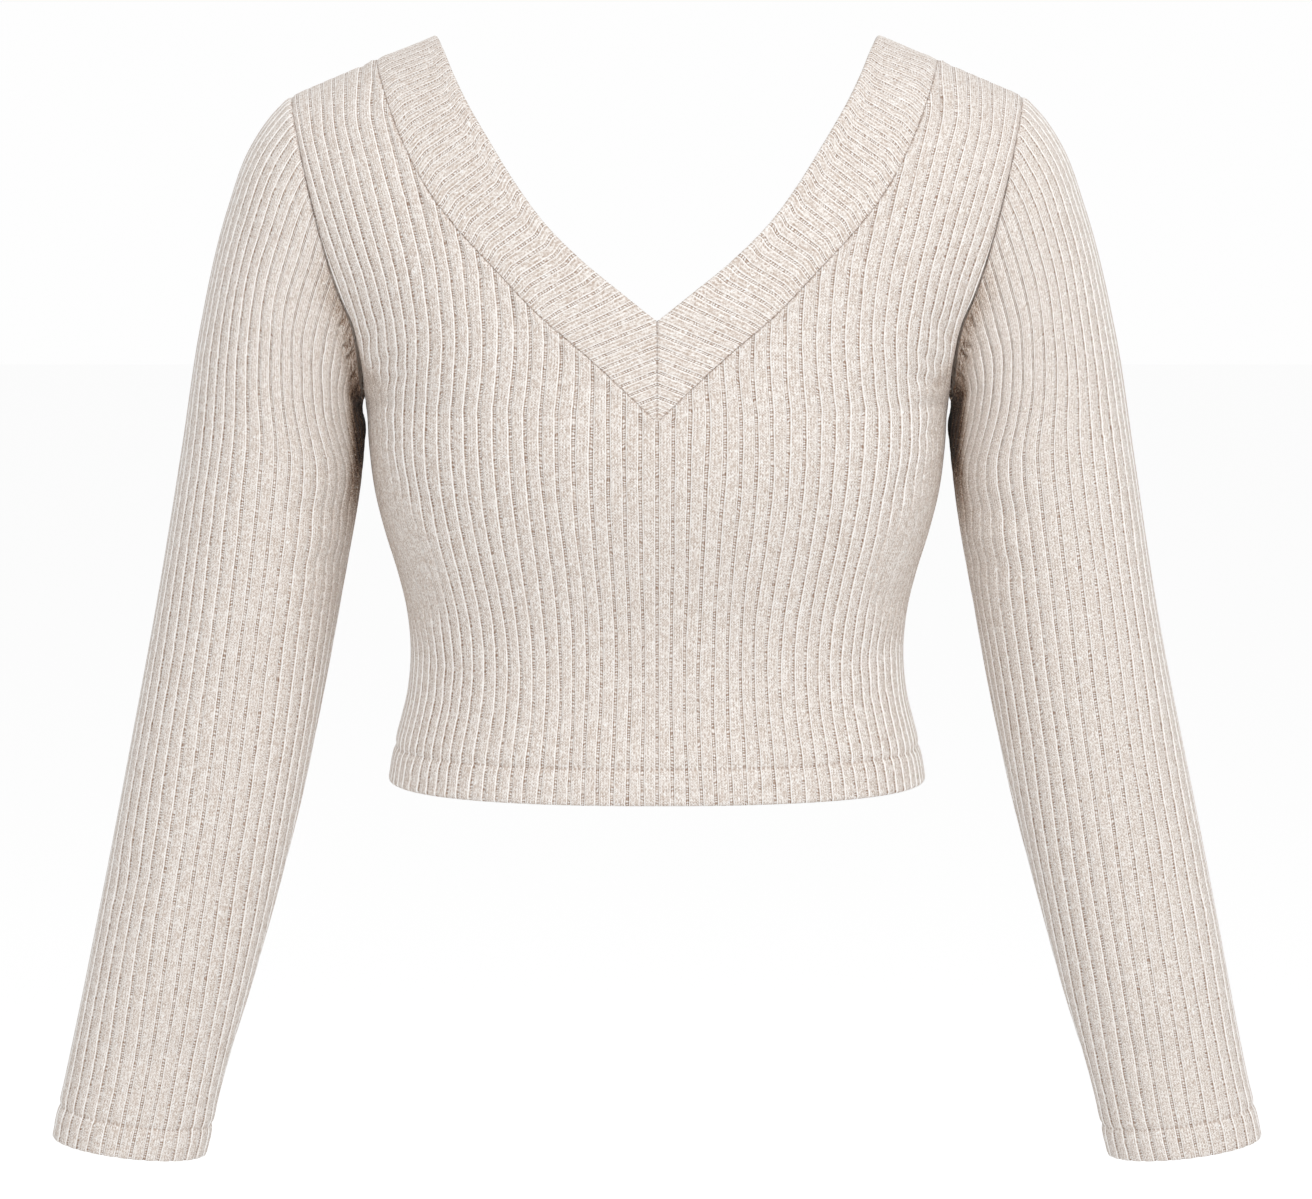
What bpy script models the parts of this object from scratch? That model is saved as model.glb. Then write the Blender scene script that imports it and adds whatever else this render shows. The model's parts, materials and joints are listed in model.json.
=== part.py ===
"""Cropped rib-knit sweater with a deep V neck, standing open as if it were worn, with no one inside.

The garment is cut and sewn from six pieces: a front, a back, two sleeves and two neckbands that meet in a
mitre at the centre front and the centre back. Every piece is a cloth wall of its own. Its outer face
carries the knit ribs, its inner face is plain, and the hems are turned up once, so the wall is double there.

Frame: +Z up, the front faces -Y, and the origin is midway between the two shoulder-neck points.
The sizes below are in millimetres; meshes are written in metres.
"""
import bmesh
import bpy
import numpy as np

MM = 0.001

# Cloth
CLOTH = 1.5            # wall in a groove between two ribs
RIB_RISE = 0.9         # a rib's crest above its groove
SEAM_GAP = 0.3         # between the edges of two sewn pieces
NECK_GAP = 0.6         # the same where the edges curve, measured before they are cut into straight runs
CAP_GAP = 0.4          # and round the armhole
HEM_FOLD = 19.0        # depth of the turned hem at the waist and at the cuffs
HEM_SEW = 1.8          # half width of the groove along its stitching
HEM_PINCH = 0.9        # depth of that groove
BAND_CLOTH = 2.2       # the neckband is knitted double
BAND_RISE = 0.7

# Rib counts
BODY_RIBS = 26.0       # from the centre front to the side seam
SHOULDER_RIBS = 22.5   # from the centre front to the shoulder point
SLEEVE_RIBS = 20.0     # from the top of the sleeve to its underarm seam
RIB_FAN = 0.46         # how far the ribs spread from the middle towards the shoulder
SLEEVE_PITCH = 7.75
BAND_RIBS = 44         # from the mitre to the shoulder, front or back
TIP_RIB = 7            # the band's rib that meets the point of the V
FLAT_RIBS = 3          # ribs at each mitre's point over which the relief of the band fades out

# Heights and the shoulder line
HEM_Z = -399.0
UNDERARM_Z = -195.0
NECK_POINT_X = 117.4
SHOULDER_SLOPE = 0.4206
SHOULDER_ROUND = {"front": 72.0, "back": 62.0}    # height over which the shoulder rolls over
ARMHOLE_DEPTH = {"front": 54.0, "back": 58.0}     # how far the armhole stands before or behind the shoulder
TORSO_POWER = 2.3                                 # 2 is an ellipse, more is squarer
SIGN = {"front": -1.0, "back": 1.0}

# The torso, from the hem up: half width, and half depth before and behind the side seam.
# Above the underarm the width is the armhole's.
TORSO_COLUMNS = ("z", "half_width", "front", "back")
TORSO = (
    (-399.0, 144.9, 104.0, 100.0),
    (-372.0, 139.3, 101.0, 97.0),
    (-351.0, 134.2, 98.0, 93.0),
    (-329.0, 132.4, 97.0, 90.0),
    (-307.0, 134.4, 99.0, 90.0),
    (-286.0, 139.4, 104.0, 92.0),
    (-264.0, 146.1, 110.0, 95.0),
    (-243.0, 151.2, 115.0, 98.0),
    (-219.0, 154.2, 118.0, 101.0),
    (-195.0, 155.7, 117.0, 104.0),
    (-158.0, 164.0, 111.0, 105.0),
    (-108.0, 180.0, 98.0, 100.0),
    (-58.0, 193.0, 82.0, 88.0),
    (0.0, 197.0, 68.0, 72.0),
)

# The armhole seen from the front, with the number of ribs inside it
ARMHOLE_COLUMNS = ("z", "half_width", "ribs")
ARMHOLE = (
    (-195.0, 155.7, 26.0),
    (-181.0, 156.0, 25.2),
    (-167.0, 157.3, 24.6),
    (-151.5, 160.6, 24.1),
    (-136.0, 166.8, 23.7),
    (-100.0, 177.7, 23.15),
    (-66.4, 186.0, 22.8),
    (-32.3, 194.2, 22.5),
)

# The neckband's sewn edge and its free edge, from the point of the V to the shoulder
NECK_COLUMNS = ("x", "z")
NECK_SEAM = {
    "front": ((0.0, -200.0), (33.9, -168.7), (64.0, -143.0), (83.3, -122.8), (101.3, -103.9),
              (115.6, -86.2), (130.6, -60.0), (139.6, -39.1), (145.4, -23.0), (149.0, -13.3)),
    "back": ((0.0, -209.0), (36.0, -178.0), (68.0, -151.5), (88.5, -130.0), (107.0, -109.5),
             (121.6, -89.0), (134.6, -61.0), (141.4, -39.5), (146.0, -23.5), (149.0, -13.3)),
}
NECK_EDGE = {
    "front": ((0.0, -149.0), (17.6, -135.0), (38.3, -118.2), (56.9, -99.9), (74.0, -77.0),
              (86.2, -57.4), (97.8, -37.9), (106.4, -21.1), (113.5, -6.0), (117.4, 0.0)),
    "back": ((0.0, -158.0), (19.8, -142.5), (42.5, -125.0), (63.0, -106.0), (82.0, -80.0),
             (95.8, -57.5), (106.0, -37.0), (112.0, -20.5), (115.8, -6.0), (117.4, 0.0)),
}

# The sleeve's sections: its top line, its underarm line and half its depth, from the armhole to the cuff
SLEEVE_COLUMNS = ("top_x", "top_z", "under_x", "under_z", "half_depth")
SLEEVE = (
    (194.2, -32.3, 155.7, -195.0, 56.0),
    (203.5, -41.0, 156.1, -197.2, 56.0),
    (216.3, -59.4, 156.3, -200.0, 55.5),
    (228.6, -91.8, 156.7, -204.5, 54.5),
    (244.5, -156.6, 157.6, -216.5, 52.5),
    (255.3, -221.3, 161.1, -248.0, 50.5),
    (270.2, -307.8, 175.7, -326.0, 46.5),
    (287.2, -394.3, 194.4, -414.0, 41.0),
    (305.0, -480.0, 216.9, -498.0, 36.0),
    (323.6, -567.0, 241.4, -580.0, 31.5),
    (330.6, -597.0, 247.5, -608.0, 31.0),
)
CAP_REACH = 130.0      # length along the top line over which the armhole's shape fades out
ARM_FOLD = 82.0        # degrees that the seam turns back on itself at the underarm
ARM_CLEAR = 1.1        # extra room there for the ribs of both pieces

# Mesh steps
BODY_ROWS = (-0.78, -0.66, -0.54, -0.4, -0.24, -0.08, 0.08, 0.24, 0.4, 0.52)   # between the hem and the roll
ROLL_ROWS = 6          # rows over the shoulder's roll
ROLL_SHARE = 0.37      # of the height above the underarm
EDGE_MARGIN = 0.02     # room, in rows, between the ends of two neighbouring runs
ROW_MARGIN = 0.03      # a row this close to a column's end is left out
COLUMN_MARGIN = 0.3    # the same in ribs, beside the armhole
STEEP_RIBS = 0.7       # this near the corner of neck and shoulder, the neck seam runs along the ribs
STEEP_STEPS = 8        # straight runs on that stretch
CAP_ROWS = (0.0, 5.0, 18.0, 42.0)     # distances down the sleeve's top line, close together at the armhole
SLEEVE_ROWS = 7                       # even rows from there to the turned hem
BAND_ROWS = (0.0, 0.12, 0.55, 1.0)    # shares of the band's width, from its seam to its free edge
COLUMNS_PER_RIB = 2
HOLE_STEPS = 24        # straight runs on half an armhole
INNER_STEP = (32.0, 11.0)   # the plain inner face keeps columns this far apart at its first and last row
INNER_SLEEVE = 20
FINE = 361             # samples on the curves that are measured before they are cut up


def column(table, names, name):
    """One named column of a table."""
    return np.array([row[names.index(name)] for row in table])


def smooth(x, xs, ys):
    """A smooth curve through the points (xs, ys): cubic pieces whose slopes are those of a parabola."""
    xs = np.asarray(xs, float)
    ys = np.asarray(ys, float)
    slopes = np.gradient(ys, xs)
    x = np.clip(x, xs[0], xs[-1])
    i = np.clip(np.searchsorted(xs, x, side="right") - 1, 0, len(xs) - 2)
    width = xs[i + 1] - xs[i]
    t = (x - xs[i]) / width
    start = (1 + 2 * t) * (1 - t) ** 2 * ys[i] + t * (1 - t) ** 2 * width * slopes[i]
    end = t ** 2 * (3 - 2 * t) * ys[i + 1] + t ** 2 * (t - 1) * width * slopes[i + 1]
    return start + end


def fade(t):
    """0 to 1 with level ends."""
    t = np.clip(t, 0, 1)
    return t * t * (3 - 2 * t)


def unit(v):
    return v / np.maximum(np.linalg.norm(v, axis=-1, keepdims=True), 1e-9)


def lengths(points):
    """Distance run along each polyline, whose points are on the last axis but one."""
    steps = np.linalg.norm(np.diff(points, axis=-2), axis=-1)
    zero = np.zeros(steps.shape[:-1] + (1,))
    return np.concatenate([zero, np.cumsum(steps, axis=-1)], axis=-1)


def shoulder_z(x):
    return -SHOULDER_SLOPE * (np.abs(x) - NECK_POINT_X)


# ---------------------------------------------------------------- torso
def row_height(v, x):
    """Height of row v at x: level up to the underarm (v = 0), then tilting to the shoulder line (v = 1)."""
    below = UNDERARM_Z + v * (UNDERARM_Z - HEM_Z)
    rise = SHOULDER_SLOPE * NECK_POINT_X - UNDERARM_Z
    above = UNDERARM_Z + v * (rise - SHOULDER_SLOPE * np.abs(x))
    return np.where(v < 0, below, above)


def row_of(x, z):
    """The row v through the point (x, z) of the front view."""
    rise = SHOULDER_SLOPE * NECK_POINT_X - UNDERARM_Z
    above = (z - UNDERARM_Z) / (rise - SHOULDER_SLOPE * np.abs(x))
    return np.where(z < UNDERARM_Z, (z - UNDERARM_Z) / (UNDERARM_Z - HEM_Z), above)


def turn(v):
    """Angle along the armhole, 0 at the underarm and pi at the shoulder."""
    return np.arccos(1 - 2 * np.clip(v, 0, 1))


def row_end(v):
    """Half width and rib count where row v meets the side seam or the armhole."""
    z = column(TORSO, TORSO_COLUMNS, "z")
    side = smooth(row_height(v, 0.0), z, column(TORSO, TORSO_COLUMNS, "half_width"))
    hole_z = np.linspace(UNDERARM_Z, ARMHOLE[-1][0], FINE)
    table_z = column(ARMHOLE, ARMHOLE_COLUMNS, "z")
    hole_x = smooth(hole_z, table_z, column(ARMHOLE, ARMHOLE_COLUMNS, "half_width"))
    hole_v = row_of(hole_x, hole_z)
    hole_v[-1] = 1.0
    ribs = smooth(hole_z, table_z, column(ARMHOLE, ARMHOLE_COLUMNS, "ribs"))
    x = np.where(v < 0, side, np.interp(v, hole_v, hole_x))
    return x, np.where(v < 0, BODY_RIBS, np.interp(v, hole_v, ribs))


def depth(x, z, side):
    """Distance of the cloth from the plane y = 0 at the point (x, z) of the front view."""
    v = row_of(x, z)
    end_x, _ = row_end(v)
    full = smooth(z, column(TORSO, TORSO_COLUMNS, "z"), column(TORSO, TORSO_COLUMNS, side))
    roll = shoulder_roll(x, z, side)
    end_z = row_height(v, end_x)
    end_full = smooth(end_z, column(TORSO, TORSO_COLUMNS, "z"), column(TORSO, TORSO_COLUMNS, side))
    end_roll = np.maximum(shoulder_roll(end_x, end_z, side), 1e-6)
    share = np.clip(ARMHOLE_DEPTH[side] * np.sin(turn(v)) / (end_full * end_roll), 0, 0.97)
    share = np.where(v >= 1 - 1e-9, ARMHOLE_DEPTH[side] / end_full, share)
    share = np.where(v < 0, 0, share)
    reach = end_x / (1 - share ** TORSO_POWER) ** (1 / TORSO_POWER)
    across = np.clip(np.abs(x) / reach, 0, 1)
    return full * roll * (1 - across ** TORSO_POWER) ** (1 / TORSO_POWER)


def shoulder_roll(x, z, side):
    """0 on the shoulder line, 1 below the stretch where the cloth rolls over it."""
    drop = np.clip((shoulder_z(x) - z) / SHOULDER_ROUND[side], 0, 1)
    return np.sqrt(1 - (1 - drop) ** 2)


class Torso:
    """The front or the back as a surface of rib number and row, from a table of measured rows."""

    def __init__(self, side):
        self.side = side
        below = -np.linspace(1, 0, 120, endpoint=False)
        above = (1 - np.cos(np.pi * np.linspace(0, 1, 181))) / 2
        self.rows = np.concatenate([below, above])
        v = self.rows[:, None]
        end_x, self.ends = row_end(self.rows)
        bend = np.sin(np.linspace(0, np.pi / 2, FINE)) ** (2 / TORSO_POWER)
        x = end_x[:, None] * bend[None, :]
        x[:, -1] = end_x
        z = row_height(v, x)
        y = SIGN[side] * depth(x, z, side)
        self.points = np.stack([x, y, z], axis=-1)
        run = lengths(self.points)
        fan = RIB_FAN * np.clip(self.rows, 0, 1)[:, None]
        share = np.linspace(0, 1, FINE)[None, :]
        wanted = (share + fan * share * (1 - share)) * run[:, -1:]
        self.grid = np.stack(
            [[np.interp(w, r, p[:, axis]) for axis in range(3)] for w, r, p in zip(wanted, run, self.points)]
        ).transpose(0, 2, 1)

    def end_rib(self, v):
        return np.interp(v, self.rows, self.ends)

    def place(self, rib, v):
        """Points at the given rib numbers (signed) and rows."""
        rib, v = np.broadcast_arrays(np.asarray(rib, float), np.asarray(v, float))
        share = np.clip(np.abs(rib) / self.end_rib(v), 0, 1) * (FINE - 1)
        row = np.interp(v, self.rows, np.arange(len(self.rows)))
        i = np.clip(row.astype(int), 0, len(self.rows) - 2)
        j = np.clip(share.astype(int), 0, FINE - 2)
        a = (row - i)[..., None]
        b = (share - j)[..., None]
        low = self.grid[i, j] * (1 - b) + self.grid[i, j + 1] * b
        high = self.grid[i + 1, j] * (1 - b) + self.grid[i + 1, j + 1] * b
        points = low * (1 - a) + high * a
        points[..., 0] *= np.where(rib < 0, -1, 1)
        return points

    def normal(self, rib, v):
        """Outward direction; level in y where the two panels are sewn together."""
        rib, v = np.broadcast_arrays(np.asarray(rib, float), np.asarray(v, float))
        limit = self.end_rib(v)
        r0 = np.clip(rib - 0.2, -limit, limit)
        r1 = np.clip(rib + 0.2, -limit, limit)
        v0 = np.clip(v - 0.01, -1, 1)
        v1 = np.clip(v + 0.01, -1, 1)
        across = self.place(r1, v) - self.place(r0, v)
        up = self.place(rib, v1) - self.place(rib, v0)
        n = np.cross(across, up) * -SIGN[self.side]
        seam = (np.abs(rib) > limit - 1e-6) & (v <= 0) | (v > 1 - 1e-6)
        n[..., 1] = np.where(seam, 0, n[..., 1])
        return unit(n)

    def rib_at(self, x, z):
        """Rib number and row of points given in the front view."""
        v = row_of(x, z)
        out = np.empty_like(v)
        for n in range(len(v)):
            near = np.clip(np.searchsorted(self.rows, v[n]), 1, len(self.rows) - 1)
            low, high = self.rows[near - 1], self.rows[near]
            share = (v[n] - low) / (high - low)
            line = self.grid[near - 1, :, 0] * (1 - share) + self.grid[near, :, 0] * share
            out[n] = np.interp(x[n], line, np.linspace(0, 1, FINE)) * self.end_rib(v[n])
        return out, v


def neck_curve(table, step=0.0):
    """A neckline curve as a fine run of (x, z), moved sideways by step towards the neck opening."""
    table = np.array(table)
    t = lengths(table)
    fine = np.linspace(0, t[-1], FINE)
    fine = t[-1] * (1 - (1 - fine / t[-1]) ** 2)
    x = smooth(fine, t, table[:, NECK_COLUMNS.index("x")])
    z = smooth(fine, t, table[:, NECK_COLUMNS.index("z")])
    along = unit(np.stack([np.gradient(x, fine), np.gradient(z, fine)], axis=-1))
    x = x - along[:, 1] * step
    z = z + along[:, 0] * step
    x[0] = 0.0
    z[-1] = shoulder_z(x[-1])
    return x, z


# ---------------------------------------------------------------- meshes
def make_object(name, vertices, faces, colour, collection):
    mesh = bpy.data.meshes.new(name)
    mesh.from_pydata((np.asarray(vertices) * MM).tolist(), [], faces)
    work = bmesh.new()
    work.from_mesh(mesh)
    bmesh.ops.recalc_face_normals(work, faces=work.faces)
    work.to_mesh(mesh)
    work.free()
    piece = bpy.data.objects.new(name, mesh)
    material = bpy.data.materials.new(name)
    material.use_nodes = True
    shader = material.node_tree.nodes["Principled BSDF"]
    shader.inputs["Base Color"].default_value = (*colour, 1.0)
    shader.inputs["Roughness"].default_value = 0.9
    shader.inputs["Metallic"].default_value = 0.0
    mesh.materials.append(material)
    collection.objects.link(piece)
    return piece


def bridge(first, second):
    """Triangles between two runs of points side by side, each a list of (position, vertex)."""
    faces = []
    i = j = 0
    while i < len(first) - 1 or j < len(second) - 1:
        second_is_done = j == len(second) - 1
        if second_is_done or (i < len(first) - 1 and first[i + 1][0] <= second[j + 1][0] + 1e-9):
            face = (first[i][1], first[i + 1][1], second[j][1])
            i += 1
        else:
            face = (first[i][1], second[j + 1][1], second[j][1])
            j += 1
        if len(set(face)) == 3:
            faces.append(face)
    return faces


def closed_wall(outer, inner, is_tube):
    """Faces of a wall between two skins, each a list of (position, run) whose runs lie side by side.

    The skins are joined along the first and the last run, and on an open sheet along the ends of all runs.
    """
    faces = []
    for skin in (outer, inner):
        for (_, near), (_, far) in zip(skin, skin[1:]):
            faces += bridge(near, far)
    for end in (0, -1):
        faces += bridge(outer[end][1], inner[end][1])
        if not is_tube:
            faces += bridge(*[[(place, run[end][1]) for place, run in skin] for skin in (outer, inner)])
    return faces


def sparse(points, *fixed):
    """Columns for the plain inner face: both edges, the fixed ones, and steps of the stated size between."""
    last = points.shape[1] - 1
    keep = [0]
    for n in range(1, last):
        gaps = [np.linalg.norm(points[row, n] - points[row, keep[-1]]) for row in (0, -1)]
        if gaps[0] > INNER_STEP[0] or gaps[1] > INNER_STEP[1] or n in fixed:
            keep.append(n)
    return keep + [last]


def rib_rise(rib, rise):
    """Height of the ribs about their mean: a groove on every whole rib number, a crest between."""
    return rise * (0.5 - np.abs(2 * (rib % 1) - 1))


# ---------------------------------------------------------------- panels
def hem_rows():
    """Rows of the turned hem, with how far the outer face is drawn in and the inner face is doubled."""
    heights = np.array([0.0, HEM_FOLD - HEM_SEW, HEM_FOLD, HEM_FOLD + HEM_SEW])
    drawn = np.array([0.0, 0.0, HEM_PINCH, 0.0])
    doubled = np.array([CLOTH, CLOTH, CLOTH / 2, 0.0])
    return heights / (UNDERARM_Z - HEM_Z) - 1, drawn, doubled


def panel_rows():
    """Rows from the hem to the shoulder line, where they turn over the roll in even steps."""
    turned = np.linspace(np.pi / 2, 0, ROLL_ROWS + 1)
    return np.concatenate([hem_rows()[0], BODY_ROWS, 1 - ROLL_SHARE * (1 - np.cos(turned))])


def neck_columns(torso):
    """Ribs and rows where the neck seam ends the columns, and the points of its steep upper stretch."""
    seam_rib, seam_row = torso.rib_at(*neck_curve(NECK_SEAM[torso.side], -NECK_GAP / 2))
    corner = seam_rib[-1]
    ribs = np.arange(0, corner - STEEP_RIBS, 1 / COLUMNS_PER_RIB)
    ends = np.interp(ribs, seam_rib, seam_row)
    run = lengths(torso.place(seam_rib, seam_row))
    start = np.interp(ribs[-1], seam_rib, run)
    steep = np.linspace(start, run[-1], STEEP_STEPS + 1)[1:]
    return ribs, ends, np.interp(steep, run, seam_rib), np.interp(steep, run, seam_row)


def panel_skin(torso, ribs, ends, steep_ribs, steep_ends, face, points):
    """One face of a panel as (rib, column) pairs; a column is a run of (row, vertex) up from the hem.

    A column ends on the neck or the shoulder line. On the steep part of the neck seam a column shares its
    neighbour's run and ends one point further up the seam. One that meets the armhole goes on along its edge,
    which is the first and the last column.
    """
    rows = panel_rows()
    hole = (1 - np.cos(np.pi * np.linspace(0, 1, HOLE_STEPS + 1))) / 2
    edge_rows = np.concatenate([rows[rows < -EDGE_MARGIN], hole])
    limit = torso.end_rib(rows) - COLUMN_MARGIN

    def add(rib, v, is_sewn):
        place = torso.place(rib, v) + torso.normal(rib, v) * face(rib, v, is_sewn)
        place[1] += SIGN[torso.side] * SEAM_GAP / 2
        points.append(place)
        return v, len(points) - 1

    def own_column(rib, end):
        return [add(rib, v, False) for v in rows[(rows < end - ROW_MARGIN) & (abs(rib) < limit)]]

    centre = own_column(0.0, ends[0]) + [add(0.0, ends[0], True)]
    halves = {}
    for hand in (-1, 1):
        edge = [add(hand * float(torso.end_rib(v)), v, True) for v in edge_rows]
        half = [(0.0, centre)]
        for rib, end in zip(ribs[1:], ends[1:]):
            column = own_column(hand * rib, end)
            if rib < SHOULDER_RIBS - COLUMN_MARGIN:
                column.append(add(hand * rib, end, True))
            else:
                column += [pair for pair in edge if pair[0] > column[-1][0] + EDGE_MARGIN]
            half.append((hand * rib, column))
            if rib == ribs[ends < 1][-1]:
                for steep_rib, steep_end in zip(steep_ribs, steep_ends):
                    column = column + [add(hand * steep_rib, steep_end, True)]
                    half.append((hand * steep_rib, column))
        halves[hand] = half + [(hand * BODY_RIBS, edge)]
    return halves[-1][:0:-1] + halves[1]


def panel(side, colour, collection):
    torso = Torso(side)
    neck_ribs, neck_ends, *steep = neck_columns(torso)
    step = 1 / COLUMNS_PER_RIB
    after_corner = np.ceil(steep[0][-1] / step + COLUMN_MARGIN) * step
    past_corner = np.arange(after_corner, BODY_RIBS - step / 2, step)
    ribs = np.concatenate([neck_ribs, past_corner])
    ends = np.concatenate([neck_ends, np.ones(len(past_corner))])
    hem, drawn, doubled = hem_rows()

    def outer_face(rib, v, is_sewn):
        return (-RIB_RISE / 2 if is_sewn else rib_rise(rib, RIB_RISE)) - np.interp(v, hem, drawn)

    def inner_face(rib, v, is_sewn):
        return -RIB_RISE / 2 - CLOTH - np.interp(v, hem, doubled)

    points = []
    outer = panel_skin(torso, ribs, ends, *steep, outer_face, points)
    plain = sparse(np.array([torso.place(ribs, -1.0), torso.place(ribs, ends)]), len(neck_ribs) - 1)
    inner = panel_skin(torso, ribs[plain], ends[plain], *steep, inner_face, points)
    return make_object(side, points, closed_wall(outer, inner, False), colour, collection)


# ---------------------------------------------------------------- neckband
def band_line(side):
    """Sewn end and free end of each of the band's ribs on one side of the neck, in the front view."""
    seam_x, seam_z = neck_curve(NECK_SEAM[side], NECK_GAP / 2)
    edge_x, edge_z = neck_curve(NECK_EDGE[side])
    seam = np.stack([seam_x, SIGN[side] * depth(seam_x, seam_z, side), seam_z], axis=-1)
    edge = np.stack([edge_x, SIGN[side] * depth(edge_x, edge_z, side), edge_z], axis=-1)
    seam_run = lengths(seam)
    edge_run = lengths(edge)
    rib = np.arange(0, BAND_RIBS * 2 + 1) / 2
    along = seam_run[-1] * rib / BAND_RIBS
    from_tip = np.clip((rib - TIP_RIB) / (BAND_RIBS - TIP_RIB), 0, 1)
    sx, sz = np.interp(along, seam_run, seam_x), np.interp(along, seam_run, seam_z)
    ex = np.interp(from_tip * edge_run[-1], edge_run, edge_x)
    ez = np.interp(from_tip * edge_run[-1], edge_run, edge_z)
    mitre = rib < TIP_RIB
    ez = np.where(mitre, seam_z[0] + (edge_z[0] - seam_z[0]) * rib / TIP_RIB, ez)
    return rib, sx, sz, ex, ez


def neckband(name, hand, colour, collection):
    """One side's band: from the front mitre up over the shoulder and down to the back mitre."""
    strips = []
    for side in ("front", "back"):
        rib, sx, sz, ex, ez = band_line(side)
        across = np.array(BAND_ROWS)[:, None]
        x = sx + (ex - sx) * across
        z = np.minimum(sz + (ez - sz) * across, shoulder_z(x))
        torso = Torso(side)
        at_rib, row = torso.rib_at(x.ravel(), z.ravel())
        row = np.minimum(row, 1)
        strip = torso.place(at_rib, row).reshape(x.shape + (3,))
        strip_normal = torso.normal(at_rib, row).reshape(x.shape + (3,))
        strips.append((rib, strip, strip_normal))
    ribs = np.concatenate([strips[0][0], 2 * BAND_RIBS - strips[1][0][-2::-1]])
    middle, normal = [np.concatenate([strips[0][n], strips[1][n][:, -2::-1]], axis=1) for n in (1, 2)]
    middle[..., 0] += SEAM_GAP / 2 * (1 - fade(middle[..., 0] / 3.0))
    from_tip = np.minimum(ribs, 2 * BAND_RIBS - ribs)
    full = fade(from_tip / FLAT_RIBS)
    relief = np.repeat(rib_rise(ribs, BAND_RISE)[None, :], len(BAND_ROWS), axis=0)
    relief[-1] = -BAND_RISE
    relief = -RIB_RISE / 2 + (relief + RIB_RISE / 2) * full
    relief[0] = -RIB_RISE / 2
    outer = middle + normal * relief[..., None]
    inner = middle - normal * (RIB_RISE / 2 + BAND_CLOTH)
    inner[-1] += normal[-1] * BAND_RISE * full[:, None]

    points = []
    skins = []
    for grid, kept in ((outer, range(len(ribs))), (inner, sparse(inner))):
        skin = []
        for n in kept:
            run = grid[:, n] if from_tip[n] > 0 else grid[:1, n]
            skin.append((ribs[n], [(place, len(points) + m) for m, place in enumerate(BAND_ROWS[:len(run)])]))
            points += list(run * np.array([hand, 1.0, 1.0]))
        skins.append(skin)
    return make_object(name, points, closed_wall(*skins, False), colour, collection)


# ---------------------------------------------------------------- sleeves
def armhole_ring():
    """The armhole as a closed run of shares from -1 (back) over 0 (shoulder) to 1 (front, underarm)."""
    rings = {}
    for side in ("front", "back"):
        torso = Torso(side)
        angle = np.linspace(np.pi, 0, FINE)
        v = (1 - np.cos(angle)) / 2
        rib = torso.end_rib(v)
        points = torso.place(rib, v)
        normal = torso.normal(rib, v)
        along = unit(np.gradient(points, axis=0))
        outward = np.cross(along, normal) * SIGN[side]
        run = lengths(points)
        rings[side] = (run / run[-1], points, unit(normal), unit(outward))
    share = np.concatenate([-rings["back"][0][:0:-1], rings["front"][0]])
    joined = [np.concatenate([rings["back"][n][:0:-1], rings["front"][n]]) for n in (1, 2, 3)]
    return (share, *joined)


def sleeve_start(share):
    """First ring of the sleeve, the armhole stepped clear of the body, and the way across the seam."""
    run, points, normal, outward = armhole_ring()
    fold = np.radians(ARM_FOLD) * fade((np.abs(run) - 0.45) / 0.55)
    step = CAP_GAP + ARM_CLEAR * fade((np.abs(run) - 0.55) / 0.45)
    way = outward * np.cos(fold)[:, None] + normal * np.sin(fold)[:, None]
    ring = points + way * step[:, None]
    return [np.stack([np.interp(share, run, field[:, axis]) for axis in range(3)], axis=-1)
            for field in (ring, outward)]


def sleeve_sections(along):
    """The sleeve's sections at distances along its top line, each with FINE points in even steps."""
    table = np.array(SLEEVE)
    top_run = lengths(table[:, :2])
    top_x, top_z, under_x, under_z, half_depth = [
        smooth(along, top_run, column(SLEEVE, SLEEVE_COLUMNS, name))[:, None] for name in SLEEVE_COLUMNS
    ]
    share = np.linspace(-1, 1, FINE)
    ring, _ = sleeve_start(share)
    start = table[0]
    line = np.array([start[2] - start[0], start[3] - start[1]])
    size = np.hypot(*line)
    line = line / size
    off = ring[:, [0, 2]] - start[:2]
    down = (off @ line / size)[None, :]
    bulge = (off[:, 0] * line[1] - off[:, 1] * line[0])[None, :]
    deep = (ring[:, 1] / start[4])[None, :]
    angle = np.pi * share[None, :]
    keep = 1 - fade(along / CAP_REACH)[:, None]
    down = keep * down + (1 - keep) * (1 - np.cos(angle)) / 2
    deep = keep * deep - (1 - keep) * np.sin(angle)
    bulge = keep * bulge
    dx, dz = under_x - top_x, under_z - top_z
    width = np.hypot(dx, dz)
    x = top_x + dx * down + bulge * dz / width
    z = top_z + dz * down - bulge * dx / width
    points = np.stack([x, half_depth * deep, z], axis=-1)
    run = lengths(points)
    even = np.empty_like(points)
    half = FINE // 2
    for n in range(len(points)):
        for low, high in ((0, half), (half, FINE - 1)):
            part = slice(low, high + 1)
            wanted = np.linspace(run[n, low], run[n, high], high - low + 1)
            for axis in range(3):
                even[n, part, axis] = np.interp(wanted, run[n, part], points[n, part, axis])
    return even, run[:, -1] / 2


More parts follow.
